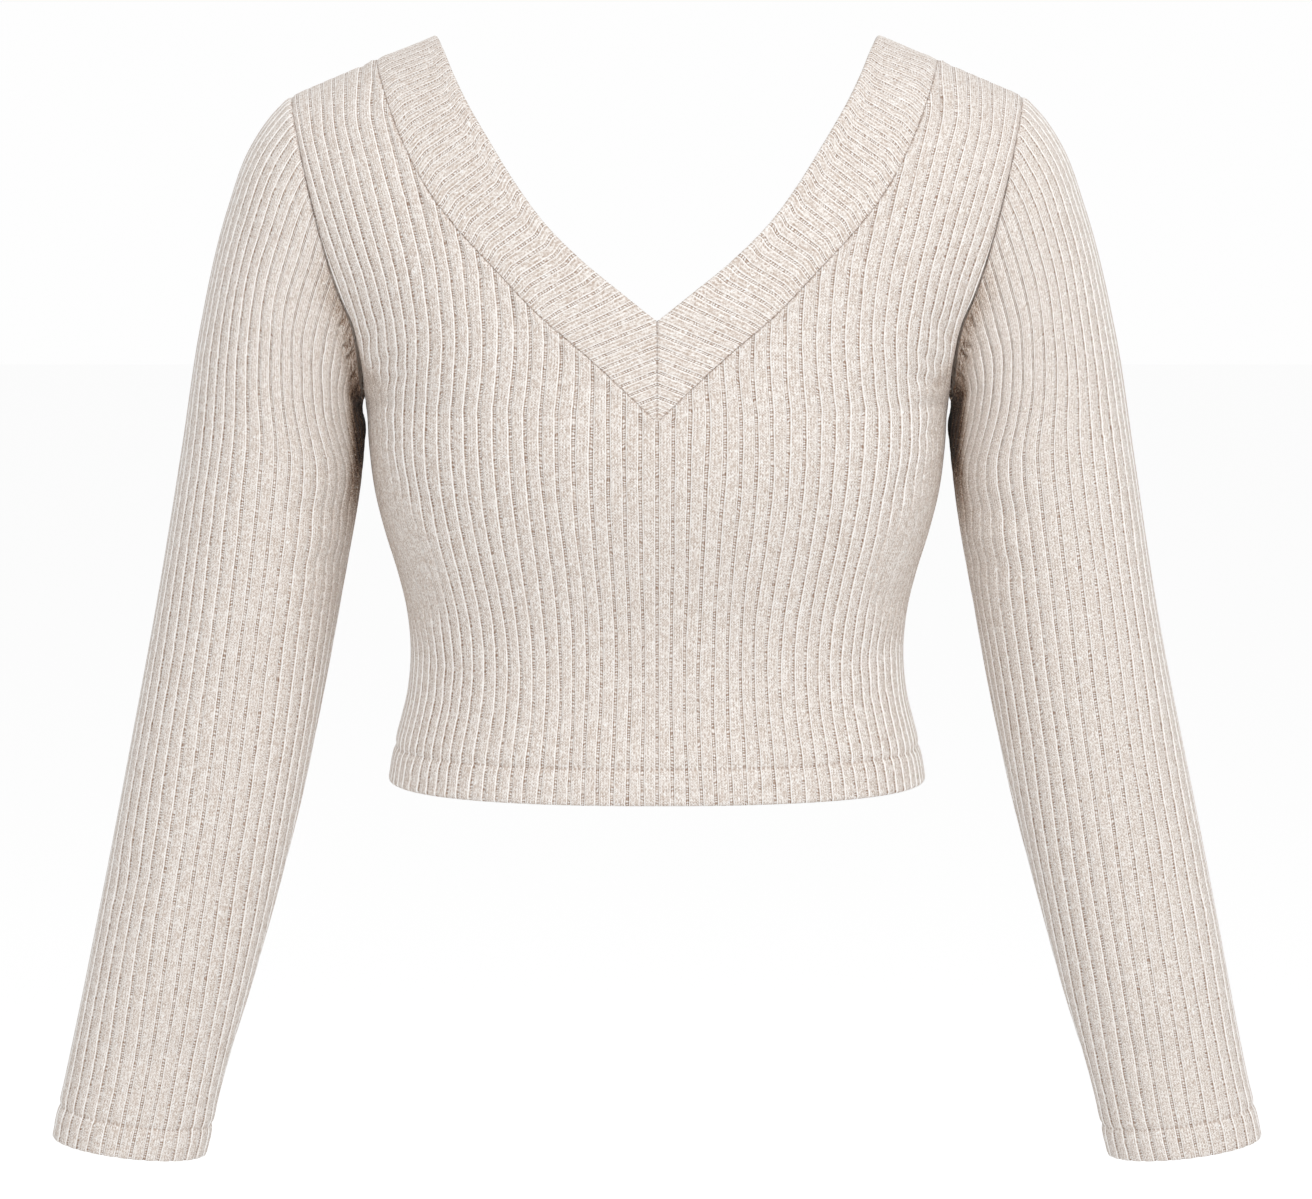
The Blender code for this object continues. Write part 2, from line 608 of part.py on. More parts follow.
def sleeve(name, hand, colour, collection):
    table = np.array(SLEEVE)
    total = lengths(table[:, :2])[-1]
    hem = total - np.array([HEM_FOLD + HEM_SEW, HEM_FOLD, HEM_FOLD - HEM_SEW, 0.0])
    cap = np.array(CAP_ROWS)
    rest = np.linspace(cap[-1], hem[0], SLEEVE_ROWS + 2)[1:-1]
    along = np.concatenate([cap, rest, hem])
    drawn = np.concatenate([np.zeros(len(cap) + len(rest)), [0.0, HEM_PINCH, 0.0, 0.0]])
    doubled = np.concatenate([np.zeros(len(cap) + len(rest)), np.array([0.0, 0.5, 1.0, 1.0]) * CLOTH])
    sections, half_length = sleeve_sections(along)
    across = np.gradient(sections, axis=1)
    across[:, [0, -1]] = (sections[:, 1] - sections[:, -2])[:, None]
    down, _ = sleeve_sections(np.minimum(along + 1.0, total))
    up, _ = sleeve_sections(np.maximum(along - 1.0, 0.0))
    normal = unit(np.cross(across, down - up))
    _, outward = sleeve_start(np.linspace(-1, 1, FINE))
    lean = np.maximum(np.sum(normal[0] * outward, axis=-1, keepdims=True), 0)
    normal[0] = unit(normal[0] - outward * lean)
    ribs = np.minimum(SLEEVE_RIBS, half_length / SLEEVE_PITCH)

    step = 1 / COLUMNS_PER_RIB
    numbers = np.arange(step - SLEEVE_RIBS, SLEEVE_RIBS - step / 2, step)
    points = []
    outer = []
    for n, reach in enumerate(ribs):
        kept = numbers[np.abs(numbers) < reach - 0.6 * step]
        position = (np.concatenate([[-reach], kept]) / reach + 1) / 2 * (FINE - 1)
        i = position.astype(int)
        share = (position - i)[:, None]
        place = sections[n, i] + (sections[n, i + 1] - sections[n, i]) * share
        way = unit(normal[n, i] + (normal[n, i + 1] - normal[n, i]) * share)
        rise = np.full(len(position), -RIB_RISE / 2)
        if n > 0:
            rise[1:] = rib_rise(kept, RIB_RISE)
        seam = len(points)
        ring = [(-reach, seam)] + [(number, seam + 1 + m) for m, number in enumerate(kept)] + [(reach, seam)]
        outer.append((along[n], ring))
        points += list(place + way * (rise - drawn[n])[:, None])
    inner = []
    around = np.linspace(0, FINE - 1, INNER_SLEEVE + 1).astype(int)[:-1]
    lining = (RIB_RISE / 2 + CLOTH + doubled)[:, None, None]
    for n, plain in enumerate((sections - normal * lining)[:, around]):
        places = np.linspace(-ribs[n], ribs[n], INNER_SLEEVE + 1)
        vertices = len(points) + np.arange(INNER_SLEEVE + 1) % INNER_SLEEVE
        inner.append((along[n], list(zip(places, vertices.tolist()))))
        points += list(plain)
    points = np.array(points) * np.array([hand, 1.0, 1.0])
    return make_object(name, points, closed_wall(outer, inner, True), colour, collection)


def main():
    for old in list(bpy.data.objects):
        bpy.data.objects.remove(old, do_unlink=True)
    collection = bpy.data.collections.new("cropped_sweater")
    bpy.context.scene.collection.children.link(collection)
    oat = (0.62, 0.56, 0.51)
    band_oat = (0.64, 0.58, 0.53)
    panel("front", oat, collection)
    panel("back", oat, collection)
    sleeve("sleeve_right", -1.0, oat, collection)
    sleeve("sleeve_left", 1.0, oat, collection)
    neckband("neckband_right", -1.0, band_oat, collection)
    neckband("neckband_left", 1.0, band_oat, collection)


main()
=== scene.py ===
# %% [markdown]
# # A cropped rib-knit sweater
# The garment stands open as if someone wore it, but no one is inside. A maker cuts six pieces of rib knit
# for it and sews them together: a front, a back, two sleeves and two neckbands. The solids that carry its
# size and its collision are loaded first, and this lesson dresses each of them with a finer cloth of the
# same form.
#
# The frame is +Z up, the front faces -Y, and the origin is midway between the two shoulder-neck points.
# Sizes below are in millimetres, because that is how knitwear is measured; meshes are written in metres.

# %% Load the solids
import json

import bmesh
import bpy
import numpy as np
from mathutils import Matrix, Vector

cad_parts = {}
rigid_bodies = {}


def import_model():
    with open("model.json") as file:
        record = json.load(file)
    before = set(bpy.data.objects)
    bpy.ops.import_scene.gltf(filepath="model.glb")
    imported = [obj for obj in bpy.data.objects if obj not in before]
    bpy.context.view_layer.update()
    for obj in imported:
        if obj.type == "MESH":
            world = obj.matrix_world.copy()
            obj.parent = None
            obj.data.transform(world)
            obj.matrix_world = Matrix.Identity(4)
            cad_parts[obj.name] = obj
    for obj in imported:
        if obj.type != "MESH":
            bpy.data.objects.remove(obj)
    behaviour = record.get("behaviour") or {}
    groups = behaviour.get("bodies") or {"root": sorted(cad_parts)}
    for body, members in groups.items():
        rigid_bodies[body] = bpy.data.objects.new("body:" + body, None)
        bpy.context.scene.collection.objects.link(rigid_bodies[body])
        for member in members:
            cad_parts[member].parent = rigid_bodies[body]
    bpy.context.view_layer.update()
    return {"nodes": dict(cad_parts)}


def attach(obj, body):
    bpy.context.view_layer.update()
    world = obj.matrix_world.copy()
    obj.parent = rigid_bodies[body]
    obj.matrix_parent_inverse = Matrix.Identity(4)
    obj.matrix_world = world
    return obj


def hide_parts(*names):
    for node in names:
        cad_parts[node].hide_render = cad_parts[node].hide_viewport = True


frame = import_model()

MM = 0.001
TAU = 2 * np.pi
print("solids:", sorted(frame["nodes"]))

# %% [markdown]
# ## The camera
# The camera comes first, so that every later choice can be looked at from the same place. It looks at the
# garment from the front and a little from above, with a long lens, which keeps the sleeves from growing
# towards the picture's edges. Cameras and lamps both look down their own -Z axis, so one helper aims both.

# %% Camera
CAMERA_AT = (-0.00054, -2.0896, -0.0935)
LOOKS_AT = (-0.00054, 0.0, -0.3021)
LENS = 106.71


def aim(name, data, place, target):
    """A camera or a lamp at a place, its -Z axis turned towards the target."""
    thing = bpy.data.objects.new(name, data)
    thing.location = place
    thing.rotation_euler = (Vector(target) - Vector(place)).to_track_quat("-Z", "Y").to_euler()
    bpy.context.scene.collection.objects.link(thing)
    return thing


camera_data = bpy.data.cameras.new("camera")
camera_data.lens = LENS
camera_data.sensor_fit = "HORIZONTAL"
camera_data.sensor_width = 36.0
camera = aim("camera", camera_data, CAMERA_AT, LOOKS_AT)
bpy.context.scene.camera = camera
print("camera", round((Vector(LOOKS_AT) - camera.location).length, 3), "m away")

# %% [markdown]
# ## Helpers for smooth curves
# A few short functions do most of the work here. `smooth` draws a curve through a table's rows, `fade` goes
# from 0 to 1 without corners, `hump` is a soft bell, and `lengths` measures along a line. They take whole
# arrays, so a thousand points cost one call.

# %% Curve helpers
TINY = 1e-9


def table(names, *rows):
    """A table's columns by their names, each one an array."""
    return dict(zip(names.split(), np.array(rows).T))


def smooth(x, xs, ys):
    """Cubic pieces through the points (xs, ys), each with the slope of a parabola through its neighbours."""
    slopes = np.gradient(ys, xs)
    x = np.clip(x, xs[0], xs[-1])
    i = np.clip(np.searchsorted(xs, x, side="right") - 1, 0, len(xs) - 2)
    width = xs[i + 1] - xs[i]
    t = (x - xs[i]) / width
    start = (1 + 2 * t) * (1 - t) ** 2 * ys[i] + t * (1 - t) ** 2 * width * slopes[i]
    end = t ** 2 * (3 - 2 * t) * ys[i + 1] + t ** 2 * (t - 1) * width * slopes[i + 1]
    return start + end


def fade(x, start=0.0, end=1.0):
    """0 at the start and 1 at the end, level at both: 3 t squared minus 2 t cubed. Either may be lower."""
    t = np.clip((x - start) / (end - start), 0, 1)
    return t * t * (3 - 2 * t)


def hump(x, width):
    """A bell of height 1 that has fallen to 0.37 at one width from its middle."""
    return np.exp(-(x / width) ** 2)


def unit(v):
    """Vectors of length 1."""
    return v / np.maximum(np.linalg.norm(v, axis=-1, keepdims=True), TINY)


def triple(a, b, c):
    """Three fields as one field of vectors."""
    return np.stack(np.broadcast_arrays(a, b, c), axis=-1)


def lengths(points):
    """Distance run along each polyline, whose points are on the last axis but one."""
    steps = np.linalg.norm(np.diff(points, axis=-2), axis=-1)
    return np.concatenate([np.zeros(steps.shape[:-1] + (1,)), np.cumsum(steps, axis=-1)], axis=-1)


def resample(wanted, runs, lines):
    """Each line of points again, read off at the wanted lengths along it."""
    even = [[np.interp(w, r, line[:, axis]) for axis in range(3)] for w, r, line in zip(wanted, runs, lines)]
    return np.stack(even).transpose(0, 2, 1)


def cell(position, count):
    """The step of a grid line that a position falls in, and how far through that step it lies, 0 to 1."""
    i = np.clip(position.astype(int), 0, count - 2)
    return i, (position - i)[..., None]


print("half way along, fade gives", float(fade(0.5)))

# %% [markdown]
# ### Distance from a line
# Seams and creases shape the cloth by how far it lies from them. `nearest` finds that distance for every
# point at once, from each straight step of the line, and works on blocks of points to save memory.

# %% Nearest place on a line
BLOCK = 20000


def nearest(points, line):
    """Distance of each point from a polyline, and how far along it, 0 to 1, its nearest place lies."""
    start = line[:-1]
    step = np.diff(line, axis=0)
    size = np.maximum((step ** 2).sum(-1), TINY)
    along = lengths(line)
    flat = points.reshape(-1, 3)
    distance = np.empty(len(flat))
    share = np.empty(len(flat))
    for part in np.array_split(np.arange(len(flat)), len(flat) // BLOCK + 1):
        off = flat[part, None, :] - start
        t = np.clip((off * step).sum(-1) / size, 0, 1)
        gap = ((off - step * t[..., None]) ** 2).sum(-1)
        best = gap.argmin(1)
        rows = np.arange(len(part))
        distance[part] = np.sqrt(gap[rows, best])
        share[part] = (along[best] + t[rows, best] * (along[best + 1] - along[best])) / along[-1]
    return distance.reshape(points.shape[:-1]), share.reshape(points.shape[:-1])


corner = np.array([[3.0, 4.0, 0.0]])
print("3 across and 4 up is", float(nearest(corner, np.zeros((2, 3)))[0][0]), "away")

# %% [markdown]
# ## The body's form
# A knit tube pulled over a body is nearly an ellipse at each height, a little squarer. So the body is a
# short table of half widths and half depths from the hem up. Above the underarm the cloth rolls over the
# shoulder. The front view is what a pattern cutter draws, so points are named by x and z, and `depth` says
# how far forward or back the cloth stands there.

# %% Body sizes
HEM_Z = -399.0
UNDERARM_Z = -195.0
NECK_POINT_X = 117.4
SHOULDER_SLOPE = 0.4206
SHOULDER_ROUND = {"front": 72.0, "back": 62.0}
ARMHOLE_DEPTH = {"front": 54.0, "back": 58.0}
TORSO_POWER = 2.3
SIGN = {"front": -1.0, "back": 1.0}
BODY_RIBS = 26.0       # from the centre to the side seam
FINE = 361             # points on every finely measured line
LOWER_TALL = UNDERARM_Z - HEM_Z
UPPER_TALL = SHOULDER_SLOPE * NECK_POINT_X - UNDERARM_Z     # at the centre, up to the shoulder line drawn on

TORSO = table(
    "z half_width front back",
    (-399.0, 144.9, 104.0, 100.0),
    (-372.0, 139.3, 101.0, 97.0),
    (-351.0, 134.2, 98.0, 93.0),
    (-329.0, 132.4, 97.0, 90.0),
    (-307.0, 134.4, 99.0, 90.0),
    (-286.0, 139.4, 104.0, 92.0),
    (-264.0, 146.1, 110.0, 95.0),
    (-243.0, 151.2, 115.0, 98.0),
    (-219.0, 154.2, 118.0, 101.0),
    (-195.0, 155.7, 117.0, 104.0),
    (-158.0, 164.0, 111.0, 105.0),
    (-108.0, 180.0, 98.0, 100.0),
    (-58.0, 193.0, 82.0, 88.0),
    (0.0, 197.0, 68.0, 72.0),
)
ARMHOLE = table(
    "z half_width",
    (-195.0, 155.7),
    (-181.0, 156.0),
    (-167.0, 157.3),
    (-151.5, 160.6),
    (-136.0, 166.8),
    (-100.0, 177.7),
    (-66.4, 186.0),
    (-32.3, 194.2),
)
PITCH = table(
    "row front back",
    (0.0, 8.49, 8.12),
    (0.1, 8.15, 7.82),
    (0.2, 7.84, 7.55),
    (0.33, 7.72, 7.46),
    (0.5, 8.0, 7.76),
    (0.75, 8.65, 8.44),
    (1.0, 9.36, 9.2),
)


def shoulder_z(x):
    """Height of the shoulder line: a straight slope from the neck point."""
    return -SHOULDER_SLOPE * (np.abs(x) - NECK_POINT_X)


def row_height(v, x):
    """Height of row v: level below the underarm (v = 0), then tilting until v = 1 is the shoulder line."""
    return UNDERARM_Z + v * np.where(v < 0, LOWER_TALL, UPPER_TALL - SHOULDER_SLOPE * np.abs(x))


def row_of(x, z):
    """The row v through the point (x, z): row_height turned round."""
    up = z - UNDERARM_Z
    return np.where(up < 0, up / LOWER_TALL, up / (UPPER_TALL - SHOULDER_SLOPE * np.abs(x)))


def row_end(v):
    """Half width of row v, out to the side seam or the armhole."""
    side = smooth(row_height(v, 0.0), TORSO["z"], TORSO["half_width"])
    hole_z = np.linspace(UNDERARM_Z, ARMHOLE["z"][-1], FINE)
    hole_x = smooth(hole_z, ARMHOLE["z"], ARMHOLE["half_width"])
    hole_v = row_of(hole_x, hole_z)
    hole_v[-1] = 1.0
    return np.where(v < 0, side, np.interp(v, hole_v, hole_x))


print("row 0.5 ends", round(float(row_end(0.5))), "mm from the centre")

# %% [markdown]
# ### How far the cloth stands forward
# Two things set the depth. Across a row the cloth follows the squarish ellipse, cut off where the armhole's
# own depth is reached. And near the top it rolls over the shoulder along a quarter circle.

# %% Depth of the body
MOST_OPEN = 0.97       # share of the full depth at which the armhole may end at most


def shoulder_roll(x, z, side):
    """0 on the shoulder line and 1 where the cloth has rolled over it, along a quarter circle."""
    drop = np.clip((shoulder_z(x) - z) / SHOULDER_ROUND[side], 0, 1)
    return np.sqrt(1 - (1 - drop) ** 2)


def squarish(share):
    """Depth of the ellipse at a share of its half width, or the other way round."""
    return (1 - share ** TORSO_POWER) ** (1 / TORSO_POWER)


def depth(x, z, side):
    """Distance of the cloth from the plane y = 0: a squarish ellipse across, cut off at the armhole."""
    v = row_of(x, z)
    end_x = row_end(v)
    end_z = row_height(v, end_x)
    end_full = smooth(end_z, TORSO["z"], TORSO[side])
    end_roll = np.maximum(shoulder_roll(end_x, end_z, side), 1e-6)
    turn = np.arccos(1 - 2 * np.clip(v, 0, 1))
    share = np.clip(ARMHOLE_DEPTH[side] * np.sin(turn) / (end_full * end_roll), 0, MOST_OPEN)
    share = np.where(v >= 1 - TINY, ARMHOLE_DEPTH[side] / end_full, share)
    share = np.where(v < 0, 0, share)
    across = np.clip(np.abs(x) / (end_x / squarish(share)), 0, 1)
    return smooth(z, TORSO["z"], TORSO[side]) * shoulder_roll(x, z, side) * squarish(across)


print("front at the hem stands", round(float(depth(0.0, HEM_Z, "front"))), "mm forward")

# %% [markdown]
# ## Ribs as coordinates
# On rib knit every rib is a line from the hem to the top, so the best way to name a place on the cloth is
# by its rib number and its row. `Torso` measures the body once as a grid of points, evenly spaced along
# each row, and then answers where any rib and row lie, which way the cloth faces there, and how long it is
# from the hem. The relief, the creases, the stitches and the colours all use these two numbers later.

# %% Cloth by rib and row
ROWS_BELOW = 120       # measured rows below the underarm
ROWS_ABOVE = 181
RIB_FAN = 0.46         # above the underarm the ribs spread towards the armhole,
FAN_ROWS = (0.0, 0.3)
SHOULDER_LEAN = 0.36   # and this share of the fan is taken back at the shoulder, so they lean to the neck
LEAN_ROWS = (0.8, 1.0)
RIB_BESIDE = 0.2       # a surface direction is measured over so many ribs and rows to each side
ROW_BESIDE = 0.01


class Torso:
    """The front or the back of the body as a surface of rib number (0 at the centre) and row (-1 to 1)."""

    def __init__(self, side):
        self.side = side
        below = -np.linspace(1, 0, ROWS_BELOW, endpoint=False)
        above = (1 - np.cos(np.pi * np.linspace(0, 1, ROWS_ABOVE))) / 2
        self.rows = np.concatenate([below, above])
        end_x = row_end(self.rows)
        bend = np.sin(np.linspace(0, np.pi / 2, FINE)) ** (2 / TORSO_POWER)
        x = end_x[:, None] * bend[None, :]
        x[:, -1] = end_x
        z = row_height(self.rows[:, None], x)
        points = triple(x, SIGN[side] * depth(x, z, side), z)
        run = lengths(points)
        pitch = smooth(self.rows, PITCH["row"], PITCH[side])
        self.ends = np.where(self.rows <= 0, BODY_RIBS, run[:, -1] / pitch)
        fan = RIB_FAN * fade(self.rows, *FAN_ROWS) * np.clip(self.rows, 0, 1)
        fan = (fan * (1 - SHOULDER_LEAN * fade(self.rows, *LEAN_ROWS)))[:, None]
        share = np.linspace(0, 1, FINE)[None, :]
        self.grid = resample((share + fan * share * (1 - share)) * run[:, -1:], run, points)
        self.runs = lengths(self.grid.transpose(1, 0, 2)).T[..., None]

    def end_rib(self, v):
        """Rib number at the row's end."""
        return np.interp(v, self.rows, self.ends)

    def row_cell(self, v):
        """The measured row below row v, and the share of the way to the next."""
        return cell(np.interp(v, self.rows, np.arange(len(self.rows))), len(self.rows))

    def read(self, field, rib, v):
        """The field at rib numbers and rows, between the four grid points around each."""
        rib, v = np.broadcast_arrays(np.asarray(rib, float), np.asarray(v, float))
        i, a = self.row_cell(v)
        j, b = cell(np.clip(np.abs(rib) / self.end_rib(v), 0, 1) * (FINE - 1), FINE)
        low = field[i, j] * (1 - b) + field[i, j + 1] * b
        high = field[i + 1, j] * (1 - b) + field[i + 1, j + 1] * b
        return low * (1 - a) + high * a

    def place(self, rib, v):
        """The point itself, on the other half for a negative rib number."""
        points = self.read(self.grid, rib, v)
        points[..., 0] *= np.where(np.broadcast_to(rib, points.shape[:-1]) < 0, -1, 1)
        return points

    def run(self, rib, v):
        """Length of cloth from the hem up to that place."""
        return self.read(self.runs, rib, v)[..., 0]

    def normal(self, rib, v):
        """Outward direction, square to the way along the row and the way along the rib."""
        rib, v = np.broadcast_arrays(np.asarray(rib, float), np.asarray(v, float))
        end = self.end_rib(v)
        right, left = [self.place(np.clip(rib + step, -end, end), v) for step in (RIB_BESIDE, -RIB_BESIDE)]
        upper, lower = [self.place(rib, np.clip(v + step, -1, 1)) for step in (ROW_BESIDE, -ROW_BESIDE)]
        n = np.cross(right - left, upper - lower) * -SIGN[self.side]
        is_seam = (np.abs(rib) > end - 1e-6) & (v <= 0) | (v > 1 - 1e-6)
        n[..., 1] = np.where(is_seam, 0, n[..., 1])
        return unit(n)

    def rib_at(self, x, z):
        """Rib number and row of points of the front view, found on the row's own line of x values."""
        v = row_of(x, z)
        i, a = self.row_cell(v)
        line = self.grid[i, :, 0] * (1 - a) + self.grid[i + 1, :, 0] * a
        k = np.clip((line < x[:, None]).sum(1) - 1, 0, FINE - 2)
        at = np.arange(len(x))
        step = np.maximum(line[at, k + 1] - line[at, k], TINY)
        share = np.clip((k + (x - line[at, k]) / step) / (FINE - 1), 0, 1)
        return share * self.end_rib(v), v


torsos = {side: Torso(side) for side in ("front", "back")}
for side, torso in torsos.items():
    bust = 2 * lengths(torso.grid[ROWS_BELOW])[-1]
    print(side, "is", round(bust), "mm across at the underarm")

# %% [markdown]
# ## The neckline
# The neck is a deep V on the front and on the back, bent outwards like a bow. Each list gives x and z along
# the seam of the neckband or along its free edge, from the point of the V up to the shoulder.

# %% Neckline sizes
NECK_SEAM = {
    "front": ((0.0, -200.0), (33.9, -168.7), (64.0, -143.0), (83.3, -122.8), (101.3, -103.9),
              (115.6, -86.2), (130.6, -60.0), (139.6, -39.1), (145.4, -23.0), (149.0, -13.3)),
    "back": ((0.0, -209.0), (36.0, -178.0), (68.0, -151.5), (88.5, -130.0), (107.0, -109.5),
             (121.6, -89.0), (134.6, -61.0), (141.4, -39.5), (146.0, -23.5), (149.0, -13.3)),
}
NECK_EDGE = {
    "front": ((0.0, -149.0), (17.6, -135.0), (38.3, -118.2), (56.9, -99.9), (74.0, -77.0),
              (86.2, -57.4), (97.8, -37.9), (106.4, -21.1), (113.5, -6.0), (117.4, 0.0)),
    "back": ((0.0, -158.0), (19.8, -142.5), (42.5, -125.0), (63.0, -106.0), (82.0, -80.0),
             (95.8, -57.5), (106.0, -37.0), (112.0, -20.5), (115.8, -6.0), (117.4, 0.0)),
}
NECK_GAP = 0.12        # sewn edges lie this far apart


def neck_curve(points, step=0.0):
    """A neckline as a fine run of x and z, closer together at its top, moved by step towards the opening."""
    points = np.array(points)
    t = lengths(points)
    fine = t[-1] * (1 - (1 - np.linspace(0, 1, FINE)) ** 2)
    x, z = [smooth(fine, t, points[:, axis]) for axis in (0, 1)]
    along = unit(np.stack([np.gradient(x, fine), np.gradient(z, fine)], axis=-1))
    x = x - along[:, 1] * step
    z = z + along[:, 0] * step
    x[0] = 0.0
    z[-1] = shoulder_z(x[-1])
    return x, z


print("neck seam of the front:", round(lengths(np.array(NECK_SEAM["front"]))[-1]), "mm a side")

# %% [markdown]
# ## From grids to closed cloth
# Each piece is one closed skin: an outer grid that carries the ribs, a plain inner grid with far fewer
# points, and a strip that joins them at every edge. A grid is cut to shape by letting its columns stop at a
# limit: all the columns past the limit share the limit's own point, and the faces that this flattens are
# dropped. `zip_strip` joins two edges that have different numbers of points, taking next whichever is
# further behind.

# %% Mesh helpers
def clamp_columns(numbers, low, high, margin):
    """Rib number of every row and column inside low to high, the column whose point stands for it, and the
    first and last such column of each row. The limits are given as one column of values."""
    first = np.searchsorted(numbers, low + margin) - 1
    last = np.searchsorted(numbers, high - margin)
    index = np.clip(np.arange(len(numbers)), first, last)
    rib = np.clip(numbers[index], low, high)
    rib = np.where(index == first, low, rib)
    rib = np.where(index == last, high, rib)
    return rib, index, first[:, 0], last[:, 0]


def grid_faces(ids):
    """Two triangles for each cell of a grid of vertex numbers."""
    a, b, c, d = ids[:-1, :-1], ids[:-1, 1:], ids[1:, 1:], ids[1:, :-1]
    return np.concatenate([np.stack(corners, axis=-1).reshape(-1, 3) for corners in ((a, b, c), (a, c, d))])


def zip_strip(ids_a, ids_b):
    """Triangles between two edges that start and end side by side, their points taken evenly along each."""
    place_a = np.linspace(0, 1, len(ids_a))
    place_b = np.linspace(0, 1, len(ids_b))
    order = np.argsort(np.concatenate([place_a[1:], place_b[1:]]), kind="stable")
    is_a = order < len(ids_a) - 1
    i = np.cumsum(is_a) - is_a
    j = np.cumsum(~is_a) - ~is_a
    third = np.where(is_a, ids_a[np.minimum(i + 1, len(ids_a) - 1)], ids_b[np.minimum(j + 1, len(ids_b) - 1)])
    return np.stack([ids_a[i], third, ids_b[j]], axis=-1)


def make_cloth(name, hand, points, faces, knit, edge):
    """A closed mesh object from grids of vectors, mirrored for hand -1. At each point knit is (rib, length,
    piece), and edge is (distance from a seam, how far the ribs are pressed flat, bounces of painted shade)."""
    fields = [np.concatenate([grid.reshape(-1, 3) for grid in grids]) for grids in (points, knit, edge)]
    points, knit, edge = fields
    faces = np.concatenate(faces)
    is_real = (faces[:, 0] != faces[:, 1]) & (faces[:, 1] != faces[:, 2]) & (faces[:, 2] != faces[:, 0])
    used, faces = np.unique(faces[is_real], return_inverse=True)
    faces = faces.reshape(-1, 3)
    mesh = bpy.data.meshes.new(name)
    mesh.vertices.add(len(used))
    mesh.vertices.foreach_set("co", (points[used] * [hand, 1, 1] * MM).astype(np.float32).ravel())
    mesh.loops.add(faces.size)
    mesh.loops.foreach_set("vertex_index", faces.ravel().astype(np.int32))
    mesh.polygons.add(len(faces))
    mesh.polygons.foreach_set("loop_start", np.arange(0, faces.size, 3, dtype=np.int32))
    mesh.update(calc_edges=True)
    for label, field in (("knit", knit), ("edge", edge)):
        layer = mesh.attributes.new(label, "FLOAT_VECTOR", "POINT")
        layer.data.foreach_set("vector", field[used].astype(np.float32).ravel())
    work = bmesh.new()
    work.from_mesh(mesh)
    bmesh.ops.remove_doubles(work, verts=work.verts, dist=1e-6)
    bmesh.ops.recalc_face_normals(work, faces=work.faces)
    open_edges = sum(not edge.is_manifold for edge in work.edges)
    volume = work.calc_volume(signed=True) * 1e6
    work.to_mesh(mesh)
    work.free()
    mesh.shade_smooth()
    piece = bpy.data.objects.new(name, mesh)
    bpy.context.scene.collection.objects.link(piece)
    print(name, len(mesh.polygons), "triangles,", open_edges, "open edges,", round(volume, 1), "ml of yarn")
    return piece


print("a square cell makes", len(grid_faces(np.arange(4).reshape(2, 2))), "triangles")

# %% [markdown]
# ## The relief of a rib
# A rib of this knit is a flat, slightly crowned ridge. Between two ribs the fabric drops into a narrow
# groove of purl stitches. The columns of each grid sit where the profile turns: on the groove's floor, on
# its wall, on the rounded shoulder and on the crest, and none is spent on the flat.

# %% Rib profile
RIB_SHARES = np.array([0.0, 0.07, 0.125, 0.17, 0.24, 0.5, 0.76, 0.83, 0.875, 0.93])
GROOVE = 0.115         # half width of a groove, as a share of the pitch
WALL_FROM = 0.55       # the wall starts so many groove half widths from the groove's middle
WALL_WIDE = 0.95       # and is so many wide
RIB_CREST = 0.42
RIB_FLOOR = -0.92
RIB_CROWN = 0.14


def rib_columns(first, last, shares):
    """Rib numbers of a grid's columns: the same shares in every rib."""
    numbers = (np.arange(first, last)[:, None] + shares[None, :]).ravel()
    return np.append(numbers, last)


def from_groove(rib):
    """Distance from the middle of the nearest groove, in ribs."""
    return np.abs((rib + 0.5) % 1 - 0.5)


def rib_relief(rib, groove=GROOVE, crest=RIB_CREST, floor=RIB_FLOOR, crown=RIB_CROWN):
    """Height over the cloth's middle: a floor, a faded wall, and a top crowned by a parabola."""
    t = from_groove(rib)
    wall = fade((t - groove * WALL_FROM) / (groove * WALL_WIDE))
    bow = 1 - ((0.5 - t) / (0.5 - groove)) ** 2
    return floor + (crest - crown - floor) * wall + crown * np.clip(bow, 0, 1)


print("a rib stands", RIB_CREST - RIB_FLOOR, "mm above its groove")
